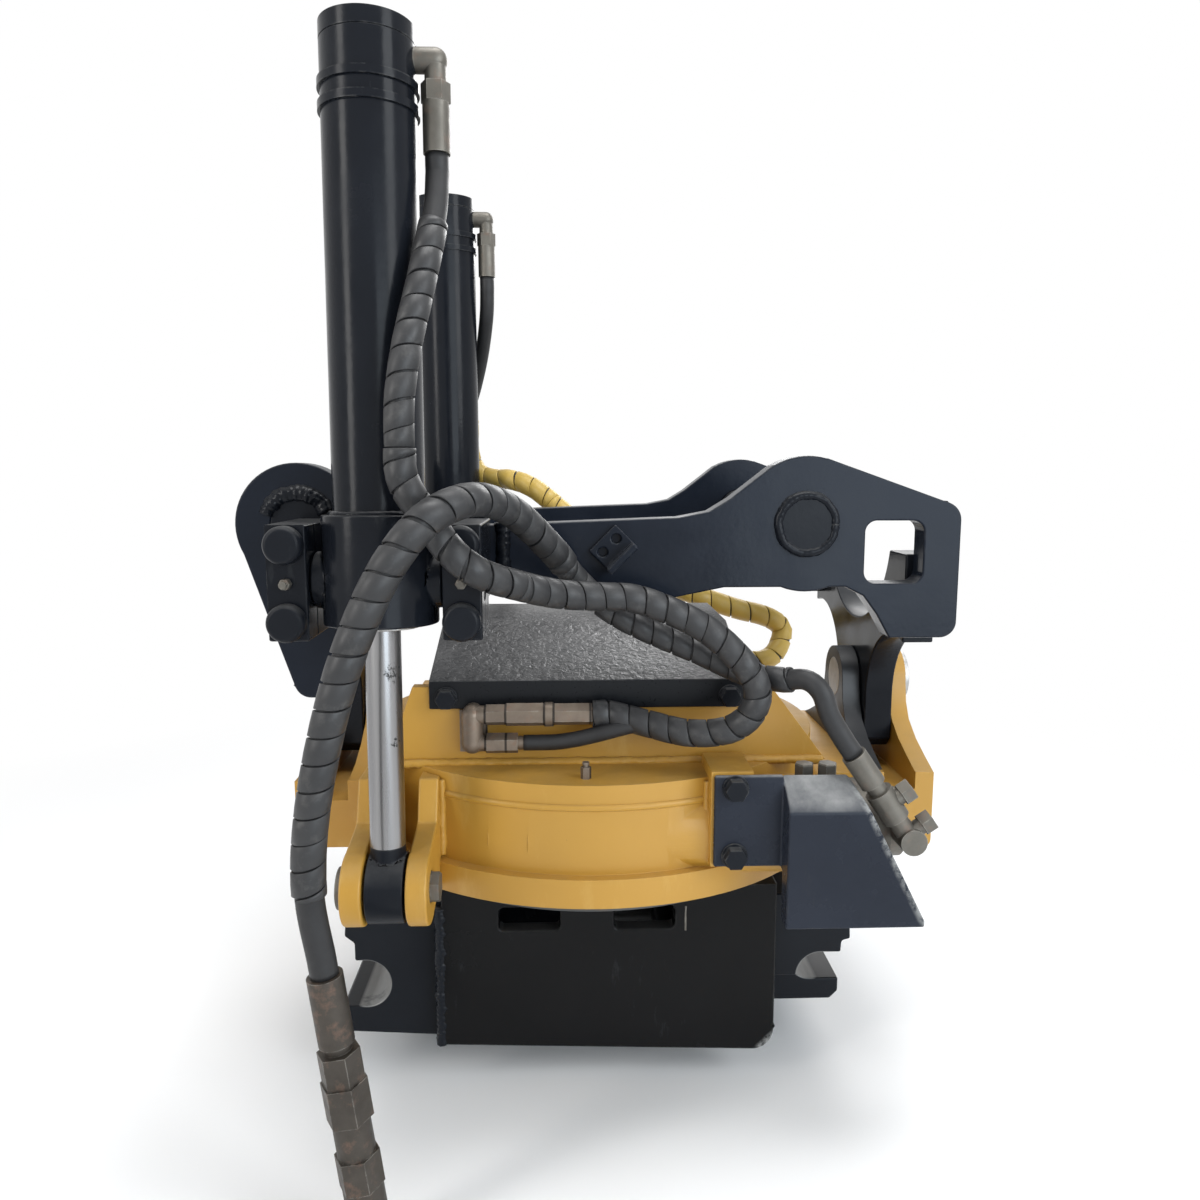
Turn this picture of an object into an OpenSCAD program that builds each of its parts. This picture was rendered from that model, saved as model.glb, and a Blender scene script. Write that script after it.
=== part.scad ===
// Excavator tilt rotator: upper frame on two machine pins, a tilting
// gear case moved by two trunnion cylinders, and an endless rotor with
// a tool hitch. Millimetres, X along the machine, Z up, origin midway
// between the two machine pins.

/* [Machine pins] */
// Diameter of the two machine pins
pin_dia = 45; // [30:1:80]
// Distance between the machine pins
pin_centres = 430; // [350:5:600]
// Clear width between the side plates
clear_width = 290; // [250:5:350]
// Thickness of each side plate
plate_thickness = 25; // [15:1:35]
// Radius of the rounded front end of a side plate
lobe_radius = 52; // [40:1:70]
// Radius of the hump over the rear pin
hump_radius = 58; // [45:1:75]

/* [Tilt axis] */
// Depth of the tilt axis below the machine pins
tilt_drop = 170; // [150:1:200]
// Largest tilt to each side
tilt_limit = 40; // [30:1:40]
// Diameter of the tilt pins
tilt_pin_dia = 40; // [30:1:50]
// Wall of the tilt bushes
tilt_bush_wall = 5; // [3:0.5:8]
// Thickness of the front and rear legs
leg_thickness = 28; // [20:1:35]
// Thickness of the ears beside each leg
ear_thickness = 18; // [12:1:25]

/* [Tilt cylinders] */
// Position of both cylinders along the frame
cyl_x = -134; // [-150:1:-120]
// Distance of a trunnion from the middle plane
cyl_side = 236; // [230:1:250]
// Depth of the trunnions below the machine pins
trunnion_drop = 38; // [30:1:45]
// Depth of the rod pins below the machine pins
rod_pin_drop = 286; // [280:1:300]
// Outside diameter of the cylinder tube
tube_od = 70; // [60:1:76]
// Wall of the cylinder tube
tube_wall = 7; // [5:0.5:9]
// Diameter of the piston rod
rod_dia = 28; // [22:1:32]
// Diameter of the trunnion stubs
trunnion_dia = 32; // [24:1:40]
// Length of the barrel above the trunnions
barrel_length = 404; // [395:1:430]
// Radius of the rod eye
eye_radius = 28; // [24:0.5:30]
// Width of the rod eye
eye_width = 30; // [24:1:32]
// Gap between the two lugs of a clevis
lug_gap = 34; // [32:1:40]
// Thickness of one lug
lug_thickness = 17; // [12:1:22]
// Diameter of the rod pin
lug_pin_dia = 24; // [18:1:28]

/* [Gear case] */
// Position of the rotor axis along the frame
rotor_x = 35; // [25:1:45]
// Outside radius of the gear case
case_radius = 226; // [220:1:230]
// Wall of the gear case
case_wall = 14; // [10:1:16]
// Depth of the case top below the machine pins
case_top_drop = 210; // [205:1:215]
// Depth of the case bottom below the machine pins
case_bottom_drop = 312; // [308:1:316]

/* [Worm drive] */
// Gear module
gear_module = 6; // [5:0.5:7]
// Teeth on the worm wheel
wheel_teeth = 50; // [46:1:52]
// Pitch radius of the worm
worm_pitch_radius = 27; // [25:1:29]
// Face width of the worm wheel
wheel_width = 40; // [30:1:44]
// Depth of the worm axis below the machine pins
worm_drop = 262; // [260:1:264]
// Play between the worm thread and the wheel teeth
mesh_play = 1.6; // [1.2:0.1:2.2]

/* [Tool hitch] */
// Diameter of the tool pins
tool_pin_dia = 45; // [40:1:50]
// Distance between the tool pins
tool_centres = 430; // [420:1:440]
// Depth of the tool pins below the machine pins
tool_pin_drop = 432; // [425:1:440]
// Width of the hitch over the hooks
hitch_width = 268; // [260:1:280]
// Travel of the lock wedge
lock_stroke = 60; // [40:1:62]

/* [Clearances] */
// Radial clearance of turning and sliding fits
running_clearance = 0.05; // [0.02:0.01:0.1]
// Radial clearance of a tool pin in the front hook
hook_clearance = 0.1; // [0.05:0.05:0.2]
// Gap between faces that move past each other
face_gap = 1; // [0.5:0.1:2]

/* [Sub-part] */
// Which sub-part to show

/* [Hidden] */
$fn = 64;
black = [0.10, 0.11, 0.13];
yellow = [0.83, 0.60, 0.18];
steel = [0.72, 0.72, 0.72];
bronze = [0.60, 0.46, 0.25];
zinc = [0.55, 0.53, 0.48];
rubber = [0.16, 0.16, 0.18];
guard_yellow = [0.80, 0.68, 0.30];

pf = -pin_centres / 2;
pr = pin_centres / 2;
plate_in = clear_width / 2;
plate_out = plate_in + plate_thickness;
plate_end = 349;
tz = -tilt_drop;
// The trunnion and the rod pin lie on one circle about the tilt axis,
// so a barrel turns by exactly half the tilt angle.
t_rel = tilt_drop - trunnion_drop;
p_rel = rod_pin_drop - tilt_drop;
rod_side = sqrt(cyl_side * cyl_side + t_rel * t_rel - p_rel * p_rel);
swing_radius = sqrt(cyl_side * cyl_side + t_rel * t_rel);
span_angle = atan(t_rel / cyl_side) + atan(p_rel / rod_side);
rest_length = 2 * swing_radius * sin(span_angle / 2);
long_length = 2 * swing_radius * sin((span_angle + tilt_limit) / 2);
lean = atan((rod_side - cyl_side) / (rod_pin_drop - trunnion_drop));
bore_r = tube_od / 2 - tube_wall;
gland_top = 12;
gland_bottom = -37;
collar_r = 44;
cap_inner = 50;
cap_outer = 80;
cap_half = 44;
cap_depth = 26;
bolt_dx = 65;
bolt_dz = 29;
bolt_depth = 32;
piston_low = long_length + gland_top + 2;
piston_height = 24;
bolt_head = 12;
port_x = tube_od / 2 + 14;
port_low = barrel_length - 88;

leg_front_x = -221;
leg_rear_x = 311;
leg_hub = 48;
leg_curve = 75;
leg_foot = 65;
ear_r = 32;
ear_front_out = leg_front_x - face_gap - ear_thickness;
ear_front_in = leg_front_x + leg_thickness + face_gap;
ear_rear_in = leg_rear_x - face_gap - ear_thickness;
ear_rear_out = leg_rear_x + leg_thickness + face_gap;
bush_r = tilt_pin_dia / 2 + tilt_bush_wall;

case_in = case_radius - case_wall;
snout_r = 42;
bearing_r = 34;
tail_r = 24;
tunnel_x = -24;
tail_x = -48;
case_top = -case_top_drop;
case_bottom = -case_bottom_drop;
flange_r = case_radius + 10;
wheel_pitch_r = gear_module * wheel_teeth / 2;
worm_y = -(wheel_pitch_r + worm_pitch_radius);
worm_z = -worm_drop;
// The worm housing ends just outside the case's flange.
snout_end = rotor_x + 0.6
  + sqrt(flange_r * flange_r - (worm_y + 31) * (worm_y + 31));
// The guard's pad stands proud of the case and of the worm housing.
pad_y = max(case_radius - 2, snout_r - worm_y + 5);
guard_x = round(snout_end) - 34;
pad_x = guard_x - 59;
pad_bolt_x = pad_x + 19;
pad_bolt_z = [-212, -270];
axial_pitch = PI * gear_module;
hub_flange_top = case_bottom - face_gap;
hub_flange_bottom = hub_flange_top - 19;
ring_top = case_bottom + 15.5;
neck_r = 131.5;
hub_r = 120;
swivel_r = 45;
hook_r = tool_pin_dia / 2 + hook_clearance;
hook_front_x = rotor_x - tool_centres / 2;
hook_rear_x = rotor_x + tool_centres / 2;
hook_z = -tool_pin_drop;
cover_half = 166;

// Where two hoses meet, with the directions of the joints.
join_gap = 0.5;
down = [0, 0, -1];
near_join = [-108, -288, 62];
far_join = [-116, 284, 110];
supply_join = [8, -196, -31];
supply_dir = [5, 5, -7];
end_join = [-165, -330, -312];
end_lean = 7.4;
end_dir = [sin(end_lean), 0, -cos(end_lean)];
motor_join = [snout_end + 23, worm_y - 52, worm_z + 77];
motor_lean = 34.5;
motor_dir = [sin(motor_lean), 0, -cos(motor_lean)];

// Curved hoses: a smooth path through round-number points.
function unit(v) = v / norm(v);
function cr(a, b, c, d, t) =
  0.5 * (2 * b + (c - a) * t + (2 * a - 5 * b + 4 * c - d) * t * t
  + (3 * b - a - 3 * c + d) * t * t * t);
function path(p, k) = concat(
  [for (i = [0 : len(p) - 2]) for (j = [0 : k - 1])
    cr(p[max(i - 1, 0)], p[i], p[i + 1], p[min(i + 2, len(p) - 1)], j / k)],
  [p[len(p) - 1]]);
function along(q, i) =
  unit(q[min(i + 1, len(q) - 1)] - q[max(i - 1, 0)]);
function square_to(n, t) = unit(n - (n * t) * t);
function carried(q, i = 0, acc = []) =
  i == len(q) ? acc
  : carried(q, i + 1, concat(acc, [square_to(
      i == 0 ? [0.31, 0.84, 0.44] : acc[i - 1], along(q, i))]));
// A point of a barrel's frame, as the shared frame has it at rest.
function on_barrel(side, p) = [cyl_x + p[0],
  side * (cyl_side - p[2] * sin(lean)) + p[1] * cos(lean),
  p[2] * cos(lean) + side * p[1] * sin(lean) - trunnion_drop];
// The way down a barrel at rest.
function barrel_down(side) = [0, side * sin(lean), -cos(lean)];
// A straight lead of three points out of a hose's first end.
function lead_out(p, d) = [for (i = [0 : 2]) p + 7 * i * unit(d)];
// A straight lead of three points into a hose's last end.
function lead_in(p, d) = [for (i = [0 : 2]) p - 7 * (2 - i) * unit(d)];

module hose(p, r, k = 3, n = 8) {
  q = path(p, k);
  m = carried(q);
  pts = [for (i = [0 : len(q) - 1]) for (j = [0 : n - 1])
    q[i] + r * (cos(360 * j / n) * m[i]
    + sin(360 * j / n) * cross(along(q, i), m[i]))];
  sides = [for (i = [0 : len(q) - 2]) for (j = [0 : n - 1])
    [i * n + j, (i + 1) * n + j,
     (i + 1) * n + (j + 1) % n, i * n + (j + 1) % n]];
  first = [[for (j = [0 : n - 1]) j]];
  last = [[for (j = [0 : n - 1]) len(q) * n - 1 - j]];
  polyhedron(pts, concat(sides, first, last));
}

// A flat profile in X and Z, from y0 towards -Y.
module xz_plate(y0, t) {
  translate([0, y0, 0]) rotate([90, 0, 0]) linear_extrude(t) children();
}

// A flat profile in Y and Z, from x0 towards +X.
module yz_plate(x0, t) {
  translate([x0, 0, 0]) rotate([90, 0, 90]) linear_extrude(t) children();
}

module xcyl(x0, x1, y, z, r) {
  translate([x0, y, z]) rotate([0, 90, 0]) cylinder(h = x1 - x0, r = r);
}

module ycyl(x, y0, y1, z, r) {
  translate([x, y1, z]) rotate([90, 0, 0]) cylinder(h = y1 - y0, r = r);
}

module zcyl(x, y, z0, z1, r) {
  translate([x, y, z0]) cylinder(h = z1 - z0, r = r);
}

module block(x0, x1, y0, y1, z0, z1) {
  translate([x0, y0, z0]) cube([x1 - x0, y1 - y0, z1 - z0]);
}

module rounded(x0, x1, z0, z1, r) {
  translate([x0 + r, z0]) square([x1 - x0 - 2 * r, z1 - z0]);
  translate([x0, z0 + r]) square([x1 - x0, z1 - z0 - 2 * r]);
  for (x = [x0 + r, x1 - r])
    for (z = [z0 + r, z1 - r])
      translate([x, z]) circle(r);
}

module side_profile() {
  difference() {
    union() {
      translate([pf, 0]) circle(lobe_radius);
      translate([pr, 0]) circle(hump_radius);
      translate([plate_end - 16, 3]) circle(16);
      translate([plate_end - 14, -85]) circle(14);
      translate([pf + 5, -134]) circle(14);
      polygon([[pf - 51, -9], [pf - 8.5, -138], [pf + 5, -148],
        [pf + 20, -148], [pf + 38, -45], [34, -47], [44, -64], [95, -64],
        [145, -54], [250, -54],
        [266, -62], [278, -78], [290, -99], [plate_end - 14, -99],
        [plate_end, -85], [plate_end, 3], [plate_end - 12, 18.5],
        [pr + 16, 56], [pr - 30, 50], [pr - 66, 22], [pr - 84, 11],
        [pr - 110, 6], [pf + 54, -4], [pf + 20, 40]]);
    }
    translate([pf, 0]) circle(pin_dia / 2);
    translate([pr, 0]) circle(pin_dia / 2);
    rounded(266, 317, -51, 3, 10);
  }
}

module side_plate(side) {
  xz_plate(side < 0 ? -plate_in : plate_out, plate_thickness)
    side_profile();
}

module near_side_plate() {
  color(black) side_plate(-1);
}

module far_side_plate() {
  color(black) side_plate(1);
}

module front_pin() {
  color(steel) ycyl(pf, -plate_out, plate_out, 0, pin_dia / 2);
}

module rear_pin() {
  color(steel) ycyl(pr, -plate_out - 2, plate_out + 2, 0, pin_dia / 2);
}

module leg_profile() {
  side = leg_hub + leg_curve;
  low = tz - leg_foot;
  difference() {
    union() {
      polygon([[-plate_in, -28], [plate_in, -28], [plate_in, -110],
        [side, tz - 10], [-side, tz - 10], [-plate_in, -110]]);
      polygon([[-leg_hub, tz], [leg_hub, tz], [leg_hub, low + 10],
        [leg_hub - 10, low], [10 - leg_hub, low], [-leg_hub, low + 10]]);
    }
    circle(105);
    translate([0, tz]) circle(bush_r);
    for (s = [-1, 1])
      translate([s * side, tz - 10]) circle(leg_curve);
  }
}

module front_leg() {
  color(black) yz_plate(leg_front_x, leg_thickness) leg_profile();
}

module rear_leg() {
  color(black) yz_plate(leg_rear_x, leg_thickness) leg_profile();
}

module tilt_bushes() {
  color(bronze)
    for (x = [leg_front_x, leg_rear_x])
      difference() {
        xcyl(x, x + leg_thickness, 0, tz, bush_r);
        xcyl(x - 1, x + leg_thickness + 1, 0, tz,
          tilt_pin_dia / 2 + running_clearance);
      }
}

module bolt_shanks(side) {
  y0 = cyl_side - bolt_depth;
  y1 = cyl_side + cap_depth;
  for (dx = [-bolt_dx, bolt_dx])
    for (dz = [-bolt_dz, bolt_dz])
      ycyl(cyl_x + dx, side < 0 ? -y1 : y0, side < 0 ? -y0 : y1,
        -trunnion_drop + dz, 7);
}

module trunnion_half(side, y0, y1) {
  difference() {
    for (s = [-1, 1])
      block(s < 0 ? cyl_x - cap_outer : cyl_x + cap_inner,
        s < 0 ? cyl_x - cap_inner : cyl_x + cap_outer, y0, y1,
        -trunnion_drop - cap_half, -trunnion_drop + cap_half);
    xcyl(cyl_x - 100, cyl_x + 100, side * cyl_side, -trunnion_drop,
      trunnion_dia / 2 + running_clearance);
    bolt_shanks(side);
  }
}

module trunnion_blocks() {
  low = -trunnion_drop - cap_half;
  color(black) difference() {
    union() {
      trunnion_half(-1, -cyl_side, -plate_out);
      trunnion_half(1, plate_out, cyl_side);
    }
    block(cyl_x - 100, cyl_x + 100, -200, 200, low - 1, low + 24);
  }
}

module trunnion_caps() {
  color(black) {
    trunnion_half(-1, -cyl_side - cap_depth, -cyl_side);
    trunnion_half(1, cyl_side, cyl_side + cap_depth);
  }
}

module trunnion_bolts() {
  y = cyl_side + cap_depth;
  color(black)
    for (side = [-1, 1]) {
      bolt_shanks(side);
      for (dx = [-bolt_dx, bolt_dx])
        for (dz = [-bolt_dz, bolt_dz])
          translate([cyl_x + dx, side * y, -trunnion_drop + dz])
            rotate([-side * 90, 0, 0]) {
              cylinder(h = bolt_head - 3, r = 14.5);
              translate([0, 0, bolt_head - 3])
                cylinder(h = 3, r1 = 14.5, r2 = 12);
            }
    }
}

module nipple(h) {
  cylinder(h = h - 4, r = 4.5, $fn = 6);
  translate([0, 0, h - 4]) cylinder(h = 2, r = 2);
  translate([0, 0, h - 2]) cylinder(h = 2, r = 3);
}

module grease_nipples() {
  color(zinc)
    for (side = [-1, 1])
      for (dx = [-bolt_dx, bolt_dx])
        translate([cyl_x + dx, side * (cyl_side + cap_depth),
          -trunnion_drop]) rotate([side < 0 ? 90 : -90, 0, 0]) nipple(12);
}

module hose_bracket() {
  color(black) translate([49, -plate_out, -20]) rotate([0, 45, 0])
    difference() {
      union() {
        block(-13, 13, -6, 0, -16, 16);
        block(7, 13, -24, -6, -16, 16);
      }
      for (z = [-8, 8])
        ycyl(-4, -7, 1, z, 4);
    }
}

// Barrel frame: origin on the trunnion axis, +Z towards the cap.
module barrel(side) {
  translate([cyl_x, side * cyl_side, -trunnion_drop])
    rotate([side * lean, 0, 0]) children();
}

// Rod frame: origin on the rod pin, +Z towards the piston.
module rod_frame(side) {
  translate([cyl_x, side * rod_side, -rod_pin_drop])
    rotate([side * lean, 0, 0]) children();
}

module collar() {
  difference() {
    union() {
      zcyl(0, 0, gland_bottom + 3, 50, collar_r);
      xcyl(-cap_outer + 1, cap_outer - 1, 0, 0, trunnion_dia / 2);
      xcyl(-cap_inner + face_gap, cap_inner - face_gap, 0, 0, 22);
    }
    zcyl(0, 0, gland_bottom - 1, 51, tube_od / 2);
  }
}

module near_collar() {
  color(black) barrel(-1) collar();
}

module far_collar() {
  color(black) barrel(1) collar();
}

module tube() {
  difference() {
    zcyl(0, 0, gland_top, barrel_length - 12, tube_od / 2);
    zcyl(0, 0, gland_top - 1, barrel_length - 11, bore_r);
  }
}

module near_tube() {
  color(black) barrel(-1) tube();
}

module far_tube() {
  color(black) barrel(1) tube();
}

module gland() {
  difference() {
    union() {
      zcyl(0, 0, gland_bottom + 3, gland_top, tube_od / 2);
      zcyl(0, 0, gland_bottom, gland_bottom + 3, 30);
    }
    zcyl(0, 0, gland_bottom - 1, gland_top + 1,
      rod_dia / 2 + running_clearance);
  }
}

module near_gland() {
  color(steel) barrel(-1) gland();
}

module far_gland() {
  color(steel) barrel(1) gland();
}

module end_cap() {
  zcyl(0, 0, barrel_length - 12, barrel_length, tube_od / 2);
  zcyl(0, 0, barrel_length - 24, barrel_length - 12, bore_r);
  for (z = [barrel_length - 62, barrel_length - 46])
    difference() {
      zcyl(0, 0, z, z + 6, tube_od / 2 + 2);
      zcyl(0, 0, z - 1, z + 7, tube_od / 2);
    }
}

module near_end_cap() {
  color(black) barrel(-1) end_cap();
}

module far_end_cap() {
  color(black) barrel(1) end_cap();
}

module port() {
  high = port_low + 66;
  difference() {
    union() {
      xcyl(0, port_x, 0, high, 9);
      translate([port_x, 0, high]) sphere(r = 9);
      zcyl(port_x, 0, port_low + 48, high, 8);
      translate([port_x, 0, port_low + 36]) cylinder(h = 14, r = 11, $fn = 6);
      zcyl(port_x, 0, port_low, port_low + 36, 10);
    }
    zcyl(0, 0, high - 42, high + 28, tube_od / 2);
  }
}

module near_port() {
  color(zinc) barrel(-1) port();
}

module far_port() {
  color(zinc) barrel(1) port();
}

module rod() {
  zcyl(0, 0, eye_radius + 8, piston_low, rod_dia / 2);
  zcyl(0, 0, piston_low, piston_low + piston_height + 12, 10);
  zcyl(0, 0, eye_radius - 8, eye_radius + 8, 10);
}

module near_rod() {
  color(steel) rod_frame(-1) rod();
}

module far_rod() {
  color(steel) rod_frame(1) rod();
}

module piston() {
  difference() {
    union() {
      zcyl(0, 0, piston_low, piston_low + piston_height,
        bore_r - running_clearance);
      translate([0, 0, piston_low + piston_height])
        cylinder(h = 10, r = 18, $fn = 6);
    }
    zcyl(0, 0, piston_low - 1, piston_low + piston_height + 11, 10);
  }
}

module near_piston() {
  color(zinc) rod_frame(-1) piston();
}

module far_piston() {
  color(zinc) rod_frame(1) piston();
}

module rod_eye() {
  difference() {
    union() {
      xcyl(-eye_width / 2, eye_width / 2, 0, 0, eye_radius);
      zcyl(0, 0, 0, eye_radius + 8, rod_dia / 2);
    }
    xcyl(-eye_width, eye_width, 0, 0, lug_pin_dia / 2 + running_clearance);
    zcyl(0, 0, eye_radius - 8, eye_radius + 9, 10);
  }
}

module near_rod_eye() {
  color(black) rod_frame(-1) rod_eye();
}

module far_rod_eye() {
  color(black) rod_frame(1) rod_eye();
}

module ear_profile(half) {
  difference() {
    union() {
      translate([0, tz]) circle(ear_r);
      for (s = [-1, 1])
        polygon([[0, tz], [s * ear_r, tz], [s * (ear_r + 4), tz - 20],
          [s * 46, tz - 36], [s * 66, tz - 49], [s * 92, tz - 60],
          [s * half, tz - 69], [s * half, -300], [0, -300]]);
    }
    translate([0, tz]) circle(tilt_pin_dia / 2);
  }
}

module gusset_profile() {
  polygon([[-150, case_top], [-125, -141], [188, -141], [240, case_top]]);
}

module gear_case() {
  rear_half = 116;
  slot_low = tz - norm([leg_hub, leg_foot]) - 4;
  color(yellow) difference() {
    union() {
      zcyl(rotor_x, 0, case_bottom, case_top, case_radius);
      zcyl(rotor_x, 0, case_bottom, case_bottom + 25, flange_r);
      block(ear_front_out, -120, -128, 128, -300, -236);
      xz_plate(rear_half, 2 * rear_half)
        rounded(240, ear_rear_out + ear_thickness, -314, -238, 9);
      for (x = [ear_front_out, ear_front_in])
        yz_plate(x, ear_thickness) ear_profile(128);
      for (x = [ear_rear_in, ear_rear_out])
        yz_plate(x, ear_thickness) ear_profile(rear_half);
      xz_plate(-cover_half + 16, 12) gusset_profile();
      xz_plate(cover_half - 4, 12) gusset_profile();
      xcyl(tunnel_x, snout_end, worm_y, worm_z, snout_r);
      xcyl(tail_x - 10, tunnel_x, worm_y, worm_z, tail_r + 6);
      block(pad_x, pad_x + 35, -pad_y, -170, -282, -200);
    }
    zcyl(rotor_x, 0, case_bottom - 1, case_top - case_wall, case_in);
    zcyl(rotor_x, 0, case_top - case_wall - 1, case_top + 1, 60);
    for (x = [leg_front_x, leg_rear_x])
      block(x - face_gap, x + leg_thickness + face_gap, -200, 200,
        slot_low, -196);
    block(262, 292, -101, 101, -315, -250);
    block(310, 340, -101, 101, -315, slot_low - 12);
    xcyl(tunnel_x, snout_end + 1, worm_y, worm_z, bearing_r);
    xcyl(tail_x, tunnel_x + 1, worm_y, worm_z, tail_r);
    for (z = pad_bolt_z)
      ycyl(pad_bolt_x, -pad_y - 1, -pad_y + 10, z, 6);
  }
}

module lug_profile(side) {
  difference() {
    union() {
      translate([side * rod_side, -rod_pin_drop]) circle(30);
      polygon([[side * rod_side, -rod_pin_drop + 30],
        [side * 204, -248], [side * 190, -214], [side * 90, -214],
        [side * 90, -308], [side * 210, -308],
        [side * rod_side, -rod_pin_drop - 30]]);
    }
    translate([side * rod_side, -rod_pin_drop]) circle(lug_pin_dia / 2);
  }
}

module lugs(side) {
  difference() {
    for (x = [cyl_x - lug_gap / 2 - lug_thickness, cyl_x + lug_gap / 2])
      yz_plate(x, lug_thickness) lug_profile(side);
    zcyl(rotor_x, 0, case_bottom - 20, case_top + 20, case_radius);
    zcyl(rotor_x, 0, case_bottom - 20, case_bottom + 25, flange_r);
    block(ear_front_out - 1, -120, -128, 128, -300, -236);
  }
}

module near_lugs() {
  color(yellow) lugs(-1);
}

module far_lugs() {
  color(yellow) lugs(1);
}

module rod_pin(side) {
  x0 = cyl_x - lug_gap / 2 - lug_thickness;
  x1 = cyl_x + lug_gap / 2 + lug_thickness;
  xcyl(x0, x1, side * rod_side, -rod_pin_drop, lug_pin_dia / 2);
  xcyl(x0 - 6, x0, side * rod_side, -rod_pin_drop, 17);
  translate([x1, side * rod_side, -rod_pin_drop]) rotate([0, 90, 0])
    cylinder(h = 7, r = 13, $fn = 6);
}

module rod_pins() {
  color(zinc) {
    rod_pin(-1);
    rod_pin(1);
  }
}

module tilt_pins() {
  color(steel) {
    xcyl(ear_front_out, ear_front_in + ear_thickness, 0, tz,
      tilt_pin_dia / 2);
    xcyl(ear_rear_in, ear_rear_out + ear_thickness, 0, tz,
      tilt_pin_dia / 2);
    xcyl(ear_front_out - 6, ear_front_out, 0, tz, 26);
    xcyl(ear_rear_out + ear_thickness, ear_rear_out + ear_thickness + 6,
      0, tz, 26);
  }
}

module bearing_ring() {
  color(bronze) difference() {
    zcyl(rotor_x, 0, case_bottom, ring_top, case_in);
    zcyl(rotor_x, 0, case_bottom - 1, ring_top + 1, neck_r + 0.5);
  }
}

module swivel_sleeve() {
  color(steel) difference() {
    union() {
      zcyl(rotor_x, 0, case_top - case_wall - 4, -176, 60);
      zcyl(rotor_x, 0, case_top, case_top + 10, 78);
    }
    zcyl(rotor_x, 0, case_top - 40, -170, swivel_r + 0.5);
  }
}

module top_cover() {
  h = cover_half;
  color(black) yz_plate(-110, 276) polygon([[-h, -160], [-h, -135],
    [-60, -100], [60, -100], [h, -135], [h, -160], [h - 4, -160],
    [h - 4, -138], [59, -104], [-59, -104], [4 - h, -138], [4 - h, -160]]);
}

module cover_bolts() {
  color(zinc)
    for (side = [-1, 1])
      for (x = [-95, 152])
        translate([x, side * cover_half, -150])
          rotate([side < 0 ? 90 : -90, 0, 0]) {
            cylinder(h = 2, r = 10);
            translate([0, 0, 2]) cylinder(h = 8, r = 9, $fn = 6);
          }
}

module motor() {
  color(zinc) {
    difference() {
      xcyl(snout_end, snout_end + 12, worm_y, worm_z, 40);
      xcyl(snout_end - 1, snout_end + 13, worm_y, worm_z, 16);
    }
    xcyl(snout_end + 12, snout_end + 63, worm_y, worm_z, 38);
    xcyl(snout_end + 63, snout_end + 79, worm_y, worm_z, 30);
  }
}

module guard_section() {
  y = -pad_y;
  polygon([[y + 2, -203], [y - 20, -219], [y - 26, -227], [y - 26, -326],
    [y - 20, -326], [y - 20, -229], [y - 16, -224], [y + 2, -211]]);
}

module guard_cheek() {
  y = -pad_y;
  polygon([[y + 2, -203], [y - 20, -219], [y - 26, -227], [y - 26, -326],
    [y - 6, -326], [y - 6, -284], [y, -280], [y + 2, -280]]);
}

module motor_guard() {
  color(black) {
    difference() {
      yz_plate(guard_x, 115) guard_section();
      translate([guard_x, 0, 0]) xz_plate(-pad_y + 10, 50)
        polygon([[54, -190], [54, -203], [65, -222], [115, -321],
          [115, -330], [123, -330], [123, -190]]);
    }
    yz_plate(guard_x, 6) guard_cheek();
    difference() {
      block(pad_x + 2, guard_x, -pad_y - 6, -pad_y, -280, -202);
      for (z = pad_bolt_z)
        ycyl(pad_bolt_x, -pad_y - 7, -pad_y + 1, z, 6);
    }
  }
}

module guard_bolts() {
  y = -pad_y;
  color(zinc)
    for (z = pad_bolt_z) {
      ycyl(pad_bolt_x, y - 6, y + 10, z, 6);
      ycyl(pad_bolt_x, y - 8, y - 6, z, 11);
      translate([pad_bolt_x, y - 8, z]) rotate([90, 0, 0])
        cylinder(h = 8, r = 9.5, $fn = 6);
    }
}

module worm_bearings() {
  color(steel)
    for (x = [tail_x, snout_end - 22])
      difference() {
        xcyl(x, x + 20, worm_y, worm_z, x < 0 ? tail_r : bearing_r);
        xcyl(x - 1, x + 21, worm_y, worm_z, 15 + running_clearance);
      }
}

module hex_x(x0, x1, y, z, r) {
  translate([x0, y, z]) rotate([0, 90, 0])
    cylinder(h = x1 - x0, r = r, $fn = 6);
}

module hose_fittings() {
  x = -72;
  y = -178;
  high = -162;
  low = -187;
  color(zinc) {
    block(x - 12, x + 12, -166, -162, low - 11, high + 1);
    zcyl(x, y, low, high, 9);
    for (z = [low, high]) {
      translate([x, y, z]) sphere(r = 9);
      ycyl(x, y, -166, z, 8);
    }
    xcyl(x, -60, y, high, 8);
    hex_x(-60, -43, y, high, 9);
    hex_x(-43, -10, y, high, 10);
    xcyl(-10, -2, y, high, 10.5);
    hex_x(-2, 31, y, high, 9.5);
    xcyl(x, -60, y, low, 7);
    hex_x(-60, -33, y, low, 9);
    xcyl(-33, -22, y, low, 6);
    block(196, 216, 162, 182, -206, -176);
    xcyl(216, 236, 173, -190, 10);
    translate([25, -206, case_top]) nipple(14);
  }
}

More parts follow.
